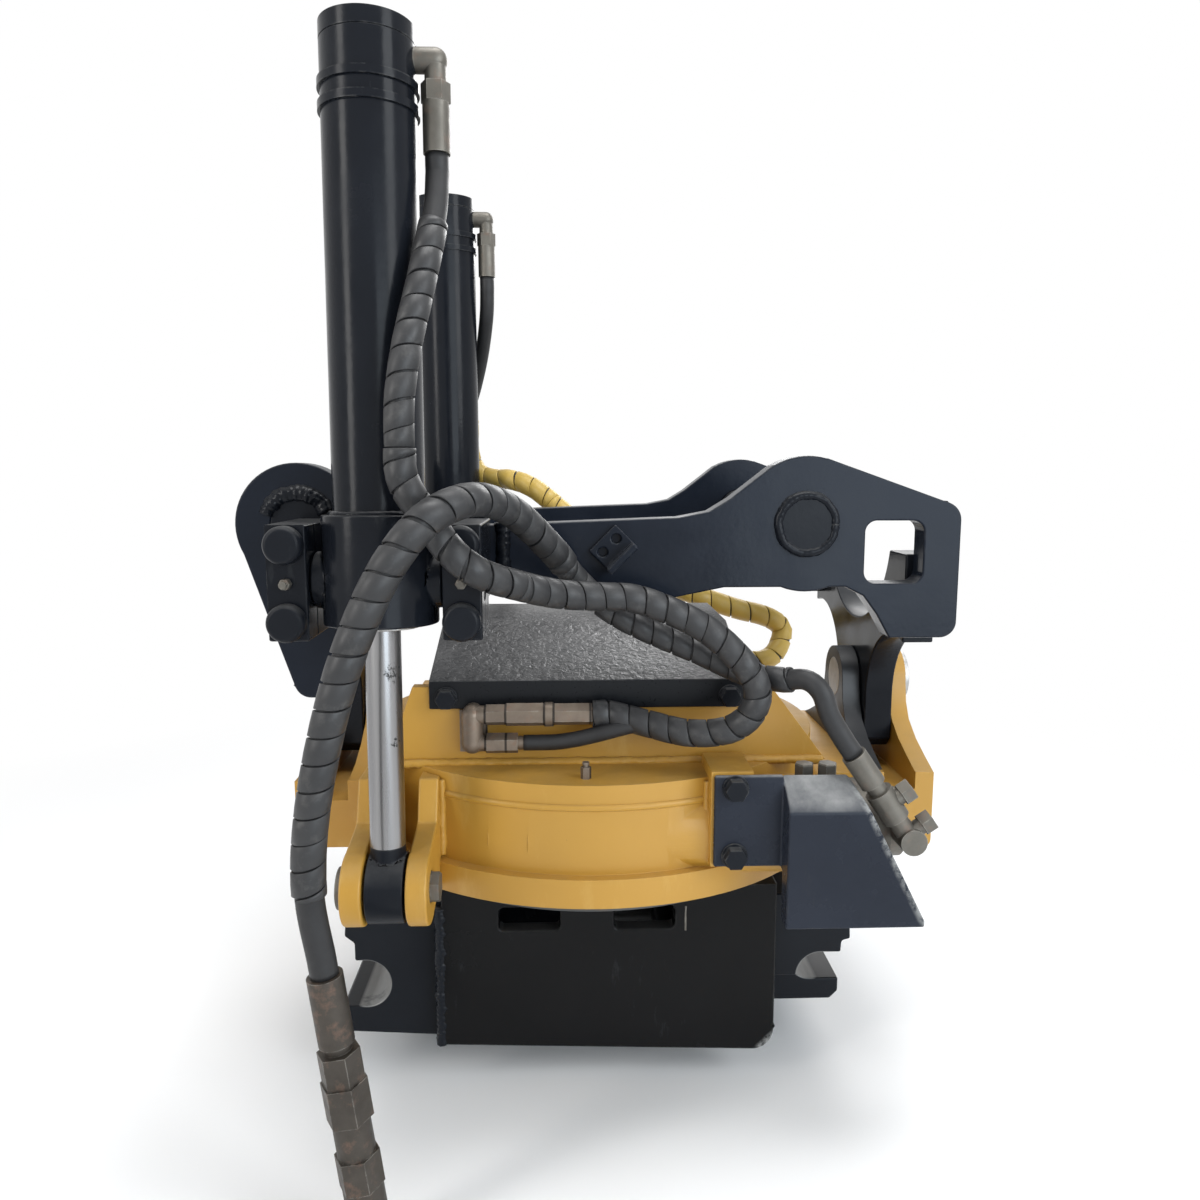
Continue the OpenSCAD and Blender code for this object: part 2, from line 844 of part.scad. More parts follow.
// A leaning stack from the motor hose down to the end of the motor.
module motor_fittings() {
  foot = motor_join + 88 * motor_dir;
  color(zinc) difference() {
    union() {
      translate(motor_join) rotate([0, 180 - motor_lean, 0]) {
        cylinder(h = 30, r = 10.5);
        translate([0, 0, 30]) cylinder(h = 8, r = 8);
        translate([0, 0, 38]) cylinder(h = 28, r = 11.5);
        translate([0, 0, 66]) cylinder(h = 24, r = 8.5);
        for (z = [52, 84]) {
          xcyl(-16, 0, 0, z, 7);
          translate([-24, 0, z]) rotate([0, 90, 0])
            cylinder(h = 10, r = 10, $fn = 6);
        }
      }
      ycyl(foot[0], foot[1] - 11, worm_y - 20, foot[2], 11);
    }
    xcyl(snout_end - 1, snout_end + 63, worm_y, worm_z, 38);
    xcyl(snout_end + 62, snout_end + 79, worm_y, worm_z, 30);
  }
}

module worm_thread() {
  n = 24;
  turns = 4;
  count = n * turns;
  tip = worm_pitch_radius + 6;
  root = worm_pitch_radius - 8;
  half_tip = (axial_pitch / 2 - mesh_play) / 2 - 6 * tan(20);
  half_root = (axial_pitch / 2 - mesh_play) / 2 + 8 * tan(20);
  function ring(f) =
    let (c = rotor_x + axial_pitch / 2 + axial_pitch * f / 360,
         e = [0, cos(f), sin(f)])
    [[c - half_root, 0, 0] + root * e, [c - half_tip, 0, 0] + tip * e,
     [c + half_tip, 0, 0] + tip * e, [c + half_root, 0, 0] + root * e];
  pts = [for (i = [0 : count]) for (q = ring(360 * (i / n - turns / 2 - 0.5)))
    q];
  sides = [for (i = [0 : count - 1]) for (j = [0 : 3])
    [i * 4 + j, i * 4 + (j + 1) % 4,
     (i + 1) * 4 + (j + 1) % 4, (i + 1) * 4 + j]];
  polyhedron(pts, concat(sides, [[3, 2, 1, 0]],
    [[count * 4, count * 4 + 1, count * 4 + 2, count * 4 + 3]]));
}

module worm() {
  color(steel) union() {
    translate([0, worm_y, worm_z]) worm_thread();
    xcyl(tail_x, snout_end + 11, worm_y, worm_z, 15);
    xcyl(-11, 81, worm_y, worm_z, worm_pitch_radius - 7.5);
  }
}

module worm_wheel() {
  lead = atan(gear_module / (2 * worm_pitch_radius));
  turn = wheel_width * tan(lead) / wheel_pitch_r * 180 / PI;
  half = (axial_pitch / 2 - mesh_play) / 2;
  function tooth(i) =
    let (a = 360 * i / wheel_teeth - 90,
         u = [cos(a), sin(a)], v = [-sin(a), cos(a)])
    [(wheel_pitch_r - 7.5) * u - (half + 7.5 * tan(20)) * v,
     (wheel_pitch_r + 4.5) * u - (half - 4.5 * tan(20)) * v,
     (wheel_pitch_r + 4.5) * u + (half - 4.5 * tan(20)) * v,
     (wheel_pitch_r - 7.5) * u + (half + 7.5 * tan(20)) * v];
  color(bronze) translate([rotor_x, 0, worm_z]) difference() {
    rotate([0, 0, -turn / 2]) linear_extrude(height = wheel_width,
      twist = -turn, slices = 3, center = true)
      polygon([for (i = [0 : wheel_teeth - 1]) for (q = tooth(i)) q]);
    cylinder(h = wheel_width + 2, r = hub_r, center = true);
  }
}

module rotor_hub() {
  color(steel) difference() {
    union() {
      zcyl(rotor_x, 0, hub_flange_bottom, hub_flange_top, 200);
      zcyl(rotor_x, 0, hub_flange_top, ring_top + 0.5, neck_r);
      zcyl(rotor_x, 0, ring_top + 0.5, ring_top + 8.5, 150);
      zcyl(rotor_x, 0, ring_top + 8.5, worm_z + wheel_width / 2 + 4, hub_r);
    }
    zcyl(rotor_x, 0, hub_flange_bottom - 1, -200, swivel_r);
  }
}

module swivel_shaft() {
  color(steel) zcyl(rotor_x, 0, hub_flange_bottom, -166, swivel_r);
}

module hitch_side_profile() {
  z = hub_flange_bottom - 18;
  difference() {
    union() {
      polygon([[-107, z], [203, z], [203, -476], [183, -497], [-107, -486]]);
      translate([183, -477]) circle(20);
    }
    rounded(-54, 2, z - 24, z - 2, 5);
    rounded(52, 108, z - 24, z - 2, 5);
  }
}

module hitch_frame() {
  color(black) {
    block(-107, 203, -150, 150, hub_flange_bottom - 18, hub_flange_bottom);
    xz_plate(-132, 18) hitch_side_profile();
    xz_plate(150, 18) hitch_side_profile();
  }
}

module front_hook() {
  h = hitch_width / 2;
  color(black) xz_plate(h, hitch_width) difference() {
    polygon([[-107, -350], [-196, -350], [-199, -385], [-190, hook_z + 40],
      [-190, hook_z], [-204, hook_z - 26], [-200, hook_z - 48],
      [-107, -486]]);
    translate([hook_front_x, hook_z]) circle(hook_r);
    translate([hook_front_x - 60, hook_z - hook_r])
      square([60, 2 * hook_r]);
  }
}

module rear_claw() {
  h = hitch_width / 2;
  color(black) xz_plate(h, hitch_width) difference() {
    polygon([[203, -350], [276, -350], [278, -396], [270, hook_z + 34],
      [268, hook_z], [203, hook_z]]);
    translate([hook_rear_x, hook_z]) circle(hook_r);
    translate([hook_rear_x, hook_z - hook_r]) square([60, 2 * hook_r]);
    translate([hook_rear_x - hook_r, hook_z - 60]) square([90, 60]);
  }
}

module lock_cylinder() {
  color(black) difference() {
    block(-104, 30, -45, 45, -478, -350);
    xcyl(-lock_stroke - 32, 18, 0, hook_z, 25);
    xcyl(17, 31, 0, hook_z, 12 + running_clearance);
  }
}

module lock_piston() {
  color(steel) {
    xcyl(-6, 14, 0, hook_z, 25 - running_clearance);
    xcyl(14, 100, 0, hook_z, 12);
  }
}

// The wedge holds the rear tool pin from below with a round seat.
module lock_wedge() {
  top = hook_z - face_gap;
  seat = hook_r + 0.4;
  z = hook_z - seat;
  color(steel) {
    block(100, 120, -100, 100, z - 22, hook_z + 20);
    xz_plate(100, 200) difference() {
      polygon([[120, z - 22], [270, z - 22], [278, z - 14], [278, z],
        [hook_rear_x, z], [hook_rear_x, top], [120, top]]);
      translate([hook_rear_x, hook_z]) circle(seat);
    }
  }
}

module near_tilt_hose() {
  color(rubber) hose(concat(
    lead_out(on_barrel(-1, [port_x, 0, port_low - join_gap]),
      barrel_down(-1)),
    [[-86, -238, 232], [-93, -260, 184], [-102, -278, 136],
    [-107, -286, 100]], lead_in(near_join, down)), 11);
}

module far_tilt_hose() {
  color(rubber) hose(concat(
    lead_out(on_barrel(1, [port_x, 0, port_low - join_gap]),
      barrel_down(1)),
    [[-87, 234, 232], [-95, 254, 190], [-106, 273, 152]],
    lead_in(far_join, down)), 9);
}

// Runs from the near barrel past the frame to the case.
module near_feed_hose() {
  color(rubber) hose(concat(lead_out(near_join + join_gap * down, down),
    [[-104, -288, 33], [-89, -287, 10], [-73, -292, -12],
    [-53, -288, -28], [-26, -264, -40], [4, -238, -50], [37, -224, -54],
    [70, -218, -58], [118, -218, -79], [148, -220, -104],
    [164, -222, -128], [162, -220, -150], [144, -214, -167],
    [112, -202, -173], [76, -187, -168]],
    lead_in([31 + join_gap, -178, -162], [-1, 0, 0])), 12);
}

// Goes on from the supply hose to the motor.
module motor_hose() {
  color(rubber) hose(concat(
    lead_out(supply_join + join_gap * unit(supply_dir), supply_dir),
    [[40, -186, -66], [70, -188, -84], [122, -188, -107],
    [160, -193, -124], [188, -206, -127], [205, -220, -124],
    [216, -228, -133], [223, -229, -152]],
    lead_in(motor_join - join_gap * motor_dir, motor_dir)), 11);
}

// Runs from the far barrel over the frame to the case.
module far_feed_hose() {
  color(guard_yellow) hose(concat(lead_out(far_join + join_gap * down, down),
    [[-116, 286, 68], [-106, 283, 43], [-85, 272, 34], [-60, 255, 33],
    [-30, 236, 22], [8, 214, -8], [60, 198, -52], [140, 196, -96],
    [214, 192, -124], [262, 200, -138], [284, 206, -156],
    [272, 188, -182]],
    lead_in([236 + join_gap, 173, -190], [-1, 0, 0])), 13);
}

module supply_hose() {
  color(rubber) hose(concat(lead_out(supply_join, -supply_dir),
    [[-28, -246, 12], [-50, -288, 25], [-70, -318, 22],
    [-90, -334, 8], [-114, -342, -26], [-138, -344, -80],
    [-156, -342, -140], [-168, -338, -198], [-172, -334, -250]],
    lead_in(end_join - join_gap * end_dir, end_dir)), 12.5);
}

module hose_end() {
  color(zinc) translate(end_join) rotate([0, 180 - end_lean, 0]) {
    cylinder(h = 52, r = 13);
    translate([0, 0, 52]) cylinder(h = 6, r = 10);
    translate([0, 0, 58]) cylinder(h = 24, r = 16, $fn = 6);
    translate([0, 0, 82]) cylinder(h = 30, r = 17.5, $fn = 6);
    translate([0, 0, 112]) cylinder(h = 28, r = 14);
    translate([0, 0, 140]) cylinder(h = 26, r = 17, $fn = 6);
    translate([0, 0, 166]) cylinder(h = 46, r = 15);
  }
}

near_side_plate();
far_side_plate();
front_pin();
rear_pin();
front_leg();
rear_leg();
tilt_bushes();
trunnion_blocks();
trunnion_caps();
trunnion_bolts();
grease_nipples();
hose_bracket();
near_collar();
near_tube();
near_gland();
near_end_cap();
near_port();
far_collar();
far_tube();
far_gland();
far_end_cap();
far_port();
near_rod();
near_piston();
near_rod_eye();
far_rod();
far_piston();
far_rod_eye();
gear_case();
near_lugs();
far_lugs();
rod_pins();
tilt_pins();
bearing_ring();
swivel_sleeve();
top_cover();
cover_bolts();
motor();
motor_guard();
guard_bolts();
worm_bearings();
hose_fittings();
motor_fittings();
worm();
worm_wheel();
rotor_hub();
swivel_shaft();
hitch_frame();
front_hook();
rear_claw();
lock_cylinder();
lock_piston();
lock_wedge();
near_tilt_hose();
far_tilt_hose();
near_feed_hose();
motor_hose();
far_feed_hose();
supply_hose();
hose_end();
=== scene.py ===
"""Looks of an excavator tilt rotator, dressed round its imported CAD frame.

Everything is in metres in the frame's own axes: X along the machine, Y away
from the camera, Z up, with the origin midway between the two machine pins.
Points of hoses and welds are written in millimetres.
"""

import math

import bpy
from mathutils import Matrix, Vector, noise


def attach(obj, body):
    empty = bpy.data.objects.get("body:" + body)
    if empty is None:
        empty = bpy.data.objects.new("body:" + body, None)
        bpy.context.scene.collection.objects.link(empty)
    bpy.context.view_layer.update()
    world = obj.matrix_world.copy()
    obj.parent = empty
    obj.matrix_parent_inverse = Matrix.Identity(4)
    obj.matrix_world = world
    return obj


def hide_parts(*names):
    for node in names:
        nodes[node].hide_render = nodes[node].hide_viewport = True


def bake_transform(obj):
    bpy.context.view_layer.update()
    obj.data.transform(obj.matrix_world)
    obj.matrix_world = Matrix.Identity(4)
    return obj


MM = 0.001

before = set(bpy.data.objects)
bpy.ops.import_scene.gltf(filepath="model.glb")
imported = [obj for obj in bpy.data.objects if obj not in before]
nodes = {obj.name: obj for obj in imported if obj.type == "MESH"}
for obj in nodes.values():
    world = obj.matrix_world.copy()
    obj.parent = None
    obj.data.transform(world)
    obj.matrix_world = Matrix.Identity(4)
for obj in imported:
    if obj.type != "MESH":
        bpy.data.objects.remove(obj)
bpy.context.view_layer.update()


# Camera and light

CAMERA_AT = (0.009, -0.966, 0.047)
CAMERA_PITCH = 82.05
CAMERA_YAW = -2.1
CAMERA_LENS = 28.2
FLOOR_Z = -0.531


def make_camera():
    data = bpy.data.cameras.new("camera")
    data.lens = CAMERA_LENS
    data.sensor_width = 36
    data.clip_start = 0.02
    camera = bpy.data.objects.new("camera", data)
    camera.location = CAMERA_AT
    camera.rotation_euler = (math.radians(CAMERA_PITCH), 0, math.radians(CAMERA_YAW))
    bpy.context.scene.collection.objects.link(camera)
    bpy.context.scene.camera = camera


def soft_light(name, place, target, size, watts, colour):
    data = bpy.data.lights.new(name, "AREA")
    data.shape = "RECTANGLE"
    data.size = size[0]
    data.size_y = size[1]
    data.energy = watts
    data.color = colour
    lamp = bpy.data.objects.new(name, data)
    lamp.location = place
    lamp.rotation_euler = (Vector(target) - Vector(place)).to_track_quat("-Z", "Y").to_euler()
    bpy.context.scene.collection.objects.link(lamp)


def make_lights():
    soft_light("window_right", (1.9, -1.5, 0.9), (0, 0, -0.15), (0.9, 1.8), 30, (0.93, 0.97, 1.0))
    soft_light("window_left", (-1.8, -1.4, 0.7), (0, 0, -0.1), (0.5, 1.6), 20, (1.0, 0.98, 0.95))
    soft_light("front_right", (1.2, -2.4, 0.1), (0.1, 0, 0), (1.3, 1.6), 26, (0.80, 0.91, 1.0))
    soft_light("overhead", (0.1, -0.2, 2.0), (0, 0, -0.2), (1.4, 1.0), 34, (1.0, 1.0, 1.0))
    soft_light("back_rim", (0.7, 1.7, 1.0), (0, 0, -0.1), (1.0, 0.8), 18, (1.0, 1.0, 1.0))


def seen_directly(tree):
    """A socket that is 1 for camera, mirror and glass rays and 0 for the rest."""
    path = tree.nodes.new("ShaderNodeLightPath")
    either = tree.nodes.new("ShaderNodeMath")
    either.operation = "MAXIMUM"
    tree.links.new(path.outputs["Is Camera Ray"], either.inputs[0])
    tree.links.new(path.outputs["Is Glossy Ray"], either.inputs[1])
    both = tree.nodes.new("ShaderNodeMath")
    both.operation = "MAXIMUM"
    tree.links.new(either.outputs[0], both.inputs[0])
    tree.links.new(path.outputs["Is Transmission Ray"], both.inputs[1])
    return both.outputs[0]


def make_world():
    world = bpy.data.worlds.new("studio")
    bpy.context.scene.world = world
    world.use_nodes = True
    tree = world.node_tree
    tree.nodes.clear()
    fill = tree.nodes.new("ShaderNodeBackground")
    fill.inputs["Color"].default_value = (0.92, 0.96, 1.0, 1)
    fill.inputs["Strength"].default_value = 0.42
    white = tree.nodes.new("ShaderNodeBackground")
    white.inputs["Color"].default_value = (1, 1, 1, 1)
    white.inputs["Strength"].default_value = 1.0
    mix = tree.nodes.new("ShaderNodeMixShader")
    tree.links.new(seen_directly(tree), mix.inputs[0])
    tree.links.new(fill.outputs[0], mix.inputs[1])
    tree.links.new(white.outputs[0], mix.inputs[2])
    out = tree.nodes.new("ShaderNodeOutputWorld")
    tree.links.new(mix.outputs[0], out.inputs[0])


def make_floor():
    """A pale disc that fades to white away from the object."""
    rim = 96
    radius = 7.0
    corners = [(radius * math.cos(2 * math.pi * i / rim), radius * math.sin(2 * math.pi * i / rim), FLOOR_Z)
               for i in range(rim)]
    mesh = bpy.data.meshes.new("floor")
    mesh.from_pydata(corners, [], [list(range(rim))])
    floor = bpy.data.objects.new("floor", mesh)
    bpy.context.scene.collection.objects.link(floor)
    material = bpy.data.materials.new("floor")
    material.use_nodes = True
    tree = material.node_tree
    shader = tree.nodes["Principled BSDF"]
    shader.inputs["Base Color"].default_value = (0.93, 0.93, 0.93, 1)
    shader.inputs["Roughness"].default_value = 0.7
    white = tree.nodes.new("ShaderNodeEmission")
    white.inputs["Strength"].default_value = 1.0
    place = tree.nodes.new("ShaderNodeNewGeometry")
    reach = tree.nodes.new("ShaderNodeVectorMath")
    reach.operation = "LENGTH"
    tree.links.new(place.outputs["Position"], reach.inputs[0])
    fade = tree.nodes.new("ShaderNodeMapRange")
    fade.inputs["From Min"].default_value = 0.75
    fade.inputs["From Max"].default_value = 1.5
    tree.links.new(reach.outputs["Value"], fade.inputs["Value"])
    direct = tree.nodes.new("ShaderNodeMath")
    direct.operation = "MULTIPLY"
    tree.links.new(fade.outputs["Result"], direct.inputs[0])
    tree.links.new(seen_directly(tree), direct.inputs[1])
    mix = tree.nodes.new("ShaderNodeMixShader")
    tree.links.new(direct.outputs[0], mix.inputs[0])
    tree.links.new(shader.outputs[0], mix.inputs[1])
    tree.links.new(white.outputs[0], mix.inputs[2])
    tree.links.new(mix.outputs[0], tree.nodes["Material Output"].inputs["Surface"])
    mesh.materials.append(material)


# Materials: a small writer for node-based shaders


class Shader:
    """One material with a Principled shader and object coordinates."""

    def __init__(self, name):
        self.material = bpy.data.materials.new(name)
        self.material.use_nodes = True
        self.tree = self.material.node_tree
        self.main = self.tree.nodes["Principled BSDF"]
        self.coords = self.node("ShaderNodeTexCoord")
        self.place = self.coords.outputs["Object"]

    def node(self, kind, **settings):
        made = self.tree.nodes.new(kind)
        for key, value in settings.items():
            setattr(made, key, value)
        return made

    def put(self, source, target):
        """Links a socket, or sets a plain value."""
        if isinstance(source, bpy.types.NodeSocket):
            self.tree.links.new(source, target)
        else:
            target.default_value = source

    def set(self, **values):
        for key, value in values.items():
            self.put(value, self.main.inputs[key.replace("_", " ").title().replace("Ior", "IOR")])

    def stretched(self, scale):
        """Object coordinates stretched by a different factor along each axis."""
        mapping = self.node("ShaderNodeMapping")
        self.put(self.place, mapping.inputs["Vector"])
        mapping.inputs["Scale"].default_value = scale
        return mapping.outputs[0]

    def noise(self, scale, detail=4.0, rough=0.55, twist=0.0, at=None):
        made = self.node("ShaderNodeTexNoise")
        self.put(self.place if at is None else at, made.inputs["Vector"])
        made.inputs["Scale"].default_value = scale
        made.inputs["Detail"].default_value = detail
        made.inputs["Roughness"].default_value = rough
        made.inputs["Distortion"].default_value = twist
        return made.outputs["Fac"]

    def span(self, value, low, high, to_low=0.0, to_high=1.0):
        made = self.node("ShaderNodeMapRange")
        made.clamp = True
        self.put(value, made.inputs["Value"])
        made.inputs["From Min"].default_value = low
        made.inputs["From Max"].default_value = high
        made.inputs["To Min"].default_value = to_low
        made.inputs["To Max"].default_value = to_high
        return made.outputs["Result"]

    def math(self, kind, a, b):
        made = self.node("ShaderNodeMath", operation=kind)
        self.put(a, made.inputs[0])
        self.put(b, made.inputs[1])
        return made.outputs[0]

    def mix(self, share, a, b):
        made = self.node("ShaderNodeMix", data_type="RGBA")
        self.put(share, made.inputs["Factor"])
        self.put(a if isinstance(a, bpy.types.NodeSocket) else (*a, 1), made.inputs[6])
        self.put(b if isinstance(b, bpy.types.NodeSocket) else (*b, 1), made.inputs[7])
        return made.outputs[2]

    def edges(self, radius, low=0.93, high=0.995):
        """1 on outer and inner edges, 0 on open faces."""
        rounded = self.node("ShaderNodeBevel", samples=4)
        rounded.inputs["Radius"].default_value = radius
        true = self.node("ShaderNodeNewGeometry")
        dot = self.node("ShaderNodeVectorMath", operation="DOT_PRODUCT")
        self.put(rounded.outputs[0], dot.inputs[0])
        self.put(true.outputs["Normal"], dot.inputs[1])
        return self.span(dot.outputs["Value"], low, high, 1.0, 0.0)

    def facing_up(self, low=0.35, high=0.95):
        """1 on faces that look up when the part is at rest."""
        split = self.node("ShaderNodeSeparateXYZ")
        self.put(self.coords.outputs["Normal"], split.inputs[0])
        return self.span(split.outputs["Z"], low, high)

    def along(self, way):
        """How far each place lies along a direction."""
        made = self.node("ShaderNodeVectorMath", operation="DOT_PRODUCT")
        self.put(self.place, made.inputs[0])
        made.inputs[1].default_value = way
        return made.outputs["Value"]

    def near(self, centre, inner, outer):
        """1 within the inner distance of a place, 0 beyond the outer."""
        made = self.node("ShaderNodeVectorMath", operation="DISTANCE")
        self.put(self.place, made.inputs[0])
        made.inputs[1].default_value = centre
        return self.span(made.outputs["Value"], inner, outer, 1.0, 0.0)

    def axis(self, name):
        split = self.node("ShaderNodeSeparateXYZ")
        self.put(self.place, split.inputs[0])
        return split.outputs[name]

    def bump(self, height, strength, depth, under=None):
        made = self.node("ShaderNodeBump")
        made.inputs["Strength"].default_value = strength
        made.inputs["Distance"].default_value = depth
        self.put(height, made.inputs["Height"])
        if under is not None:
            self.put(under, made.inputs["Normal"])
        return made.outputs[0]


def black_paint(name, top_film=0.25, gloss=0.13, orange_peel=0.12, tint=(0.0052, 0.0062, 0.0085), rubbed=None,
                film_tone=0.20):
    """Thick glossy black paint with a blue cast, a pale film on faces that look up, and grey scuffs. The film
    is dust; where it is made heavy and pale it is also a painted highlight on a lit top.

    A rubbed edge is given as (direction across it, its distance along that direction).
    """
    s = Shader(name)
    soft = tuple(2.1 * c for c in tint)
    colour = s.mix(s.noise(9, 5, 0.6), tint, soft)
    scuff = s.span(s.noise(70, 6, 0.7, at=s.stretched((1.0, 1.0, 0.25))), 0.64, 0.72, 0, 0.35)
    colour = s.mix(scuff, colour, (0.030, 0.032, 0.035))
    worn = s.math("MULTIPLY", s.edges(0.0016), s.span(s.noise(55, 5, 0.7), 0.47, 0.62, 0, 0.45))
    colour = s.mix(worn, colour, (0.14, 0.138, 0.132))
    if rubbed:
        way, edge = rubbed
        close = s.span(s.along(way), edge - 0.006, edge - 0.001)
        colour = s.mix(s.math("MULTIPLY", close, s.span(s.noise(120, 6, 0.7), 0.42, 0.56, 0, 0.8)), colour,
                       (0.32, 0.32, 0.31))
    # Pale film on faces that look up: dust, and where it is heavy and pale also a painted highlight on a lit
    # top.
    film = s.math("MULTIPLY", s.facing_up(), s.span(s.noise(26, 6, 0.65), 0.3, 0.75, 0.1, top_film))
    colour = s.mix(film, colour, (film_tone, 0.99 * film_tone, 0.96 * film_tone))
    rough = s.math("ADD", s.span(s.noise(18, 5, 0.6), 0.3, 0.7, gloss, gloss + 0.16), film)
    peel = s.bump(s.noise(240, 2, 0.5), orange_peel, 0.0006)
    drip = s.bump(s.noise(34, 3, 0.5), 0.10, 0.002, peel)
    s.set(base_color=colour, roughness=rough, normal=drip, specular_ior_level=0.13)
    return s.material


def cover_paint(name):
    """Black paint over a coarse non-slip texture."""
    s = Shader(name)
    grain = s.noise(150, 3, 0.55, 0.6)
    fine = s.noise(420, 2, 0.5)
    top = s.facing_up(0.2, 0.7)
    colour = s.mix(s.span(grain, 0.35, 0.7), (0.010, 0.011, 0.013), (0.045, 0.045, 0.047))
    dusty = s.math("MULTIPLY", top, s.span(s.noise(40, 5, 0.65), 0.35, 0.75, 0.02, 0.22))
    colour = s.mix(dusty, colour, (0.22, 0.215, 0.21))
    worn = s.math("MULTIPLY", s.edges(0.002), s.span(s.noise(60, 5, 0.7), 0.5, 0.62, 0, 0.55))
    colour = s.mix(worn, colour, (0.17, 0.165, 0.155))
    flange = s.span(top, 0.0, 0.3, 1.0, 0.0)
    colour = s.mix(flange, colour, (0.006, 0.007, 0.009))
    lumps = s.bump(s.math("MULTIPLY", grain, top), 0.5, 0.003)
    skin = s.bump(s.math("MULTIPLY", fine, top), 0.25, 0.0008, lumps)
    s.set(base_color=colour, roughness=s.span(fine, 0.3, 0.7, 0.26, 0.46), normal=skin,
          specular_ior_level=s.span(top, 0.0, 0.3, 0.2, 0.4))
    return s.material


def yellow_paint(name):
    """Satin machine yellow with brown grime in corners, chips and faint runs.

    The ears' inner faces beside the rear leg are painted near-black, as painted shade in the narrow gap
    against the leg.
    """
    s = Shader(name)
    colour = s.mix(s.noise(7, 5, 0.6), (0.41, 0.212, 0.024), (0.50, 0.272, 0.042))
    pale = s.span(s.noise(22, 6, 0.7, at=s.stretched((1.0, 1.0, 0.3))), 0.55, 0.72, 0, 0.22)
    colour = s.mix(pale, colour, (0.72, 0.50, 0.17))
    corner = s.math("MULTIPLY", s.edges(0.003, 0.75, 0.97), s.span(s.noise(48, 6, 0.7), 0.42, 0.68, 0, 0.42))
    wall = s.math("MAXIMUM", s.span(s.axis("Z"), -0.288, -0.286, 1, 0), s.span(s.axis("Z"), -0.236, -0.234))
    colour = s.mix(s.math("MULTIPLY", corner, wall), colour, (0.20, 0.115, 0.035))
    film = s.math("MULTIPLY", s.facing_up(0.4, 0.95), s.span(s.noise(30, 6, 0.7), 0.32, 0.72, 0.05, 0.45))
    colour = s.mix(film, colour, (0.30, 0.21, 0.09))
    chip = s.span(s.noise(130, 4, 0.75), 0.735, 0.75, 0, 0.8)
    colour = s.mix(chip, colour, (0.06, 0.045, 0.03))
    rough = s.math("ADD", s.span(s.noise(20, 5, 0.6), 0.3, 0.7, 0.36, 0.5), s.math("MULTIPLY", film, 0.5))
    peel = s.bump(s.noise(260, 2, 0.5), 0.10, 0.0006)
    # Painted shade: a near-black patch on the ears' inner faces in the gap beside the rear leg.
    beside_leg = s.math("MULTIPLY", s.span(s.axis("X"), 0.2895, 0.2900),
                        s.span(s.axis("X"), 0.3120, 0.3125, 1, 0))
    painted_shade_by_leg = s.math("MULTIPLY", beside_leg, s.span(s.axis("Z"), -0.2375, -0.2370))
    colour = s.mix(painted_shade_by_leg, colour, (0.007, 0.008, 0.010))
    s.set(base_color=colour, roughness=rough, normal=s.bump(s.noise(28, 3, 0.5), 0.12, 0.002, peel))
    return s.material


def chrome(name, pitted):
    """Hard-chromed rod: fine turning marks, and dark pits clustered round the places (centre, radius)."""
    s = Shader(name)
    band = s.noise(30, 4, 0.6, at=s.stretched((1.0, 1.0, 0.04)))
    colour = s.mix(s.span(band, 0.35, 0.65), (0.25, 0.25, 0.255), (0.37, 0.365, 0.365))
    cluster = 0.0
    for centre, radius in pitted:
        cluster = s.math("MAXIMUM", s.near(centre, 0.3 * radius, radius), cluster)
    pits = s.span(s.math("ADD", s.noise(300, 5, 0.8), s.math("MULTIPLY", cluster, 0.22)), 0.72, 0.74)
    colour = s.mix(pits, colour, (0.012, 0.012, 0.012))
    s.set(base_color=colour, metallic=s.span(pits, 0.0, 1.0, 1.0, 0.2),
          roughness=s.span(band, 0.3, 0.7, 0.24, 0.36), normal=s.bump(s.noise(900, 2, 0.5), 0.03, 0.0003))
    return s.material


def bare_steel(name, light=0.46, rough=0.36):
    """Machined or worn steel with fine scratches and thin brown stains."""
    s = Shader(name)
    scratch = s.noise(90, 5, 0.7, at=s.stretched((0.15, 1.0, 1.0)))
    low, high = light * 0.72, light * 1.15
    colour = s.mix(s.span(scratch, 0.3, 0.7), (low, low, low), (high, high, high * 0.98))
    stain = s.span(s.noise(24, 6, 0.7), 0.55, 0.75, 0, 0.5)
    colour = s.mix(stain, colour, (0.16, 0.11, 0.07))
    s.set(base_color=colour, metallic=0.85, roughness=s.span(scratch, 0.3, 0.7, rough, rough + 0.2),
          normal=s.bump(scratch, 0.08, 0.0006))
    return s.material


def bronze(name):
    s = Shader(name)
    turned = s.noise(120, 4, 0.6, at=s.stretched((1.0, 1.0, 0.2)))
    colour = s.mix(s.span(turned, 0.3, 0.7), (0.30, 0.19, 0.08), (0.52, 0.36, 0.16))
    s.set(base_color=colour, metallic=0.9, roughness=s.span(turned, 0.3, 0.7, 0.3, 0.5),
          normal=s.bump(turned, 0.05, 0.0005))
    return s.material


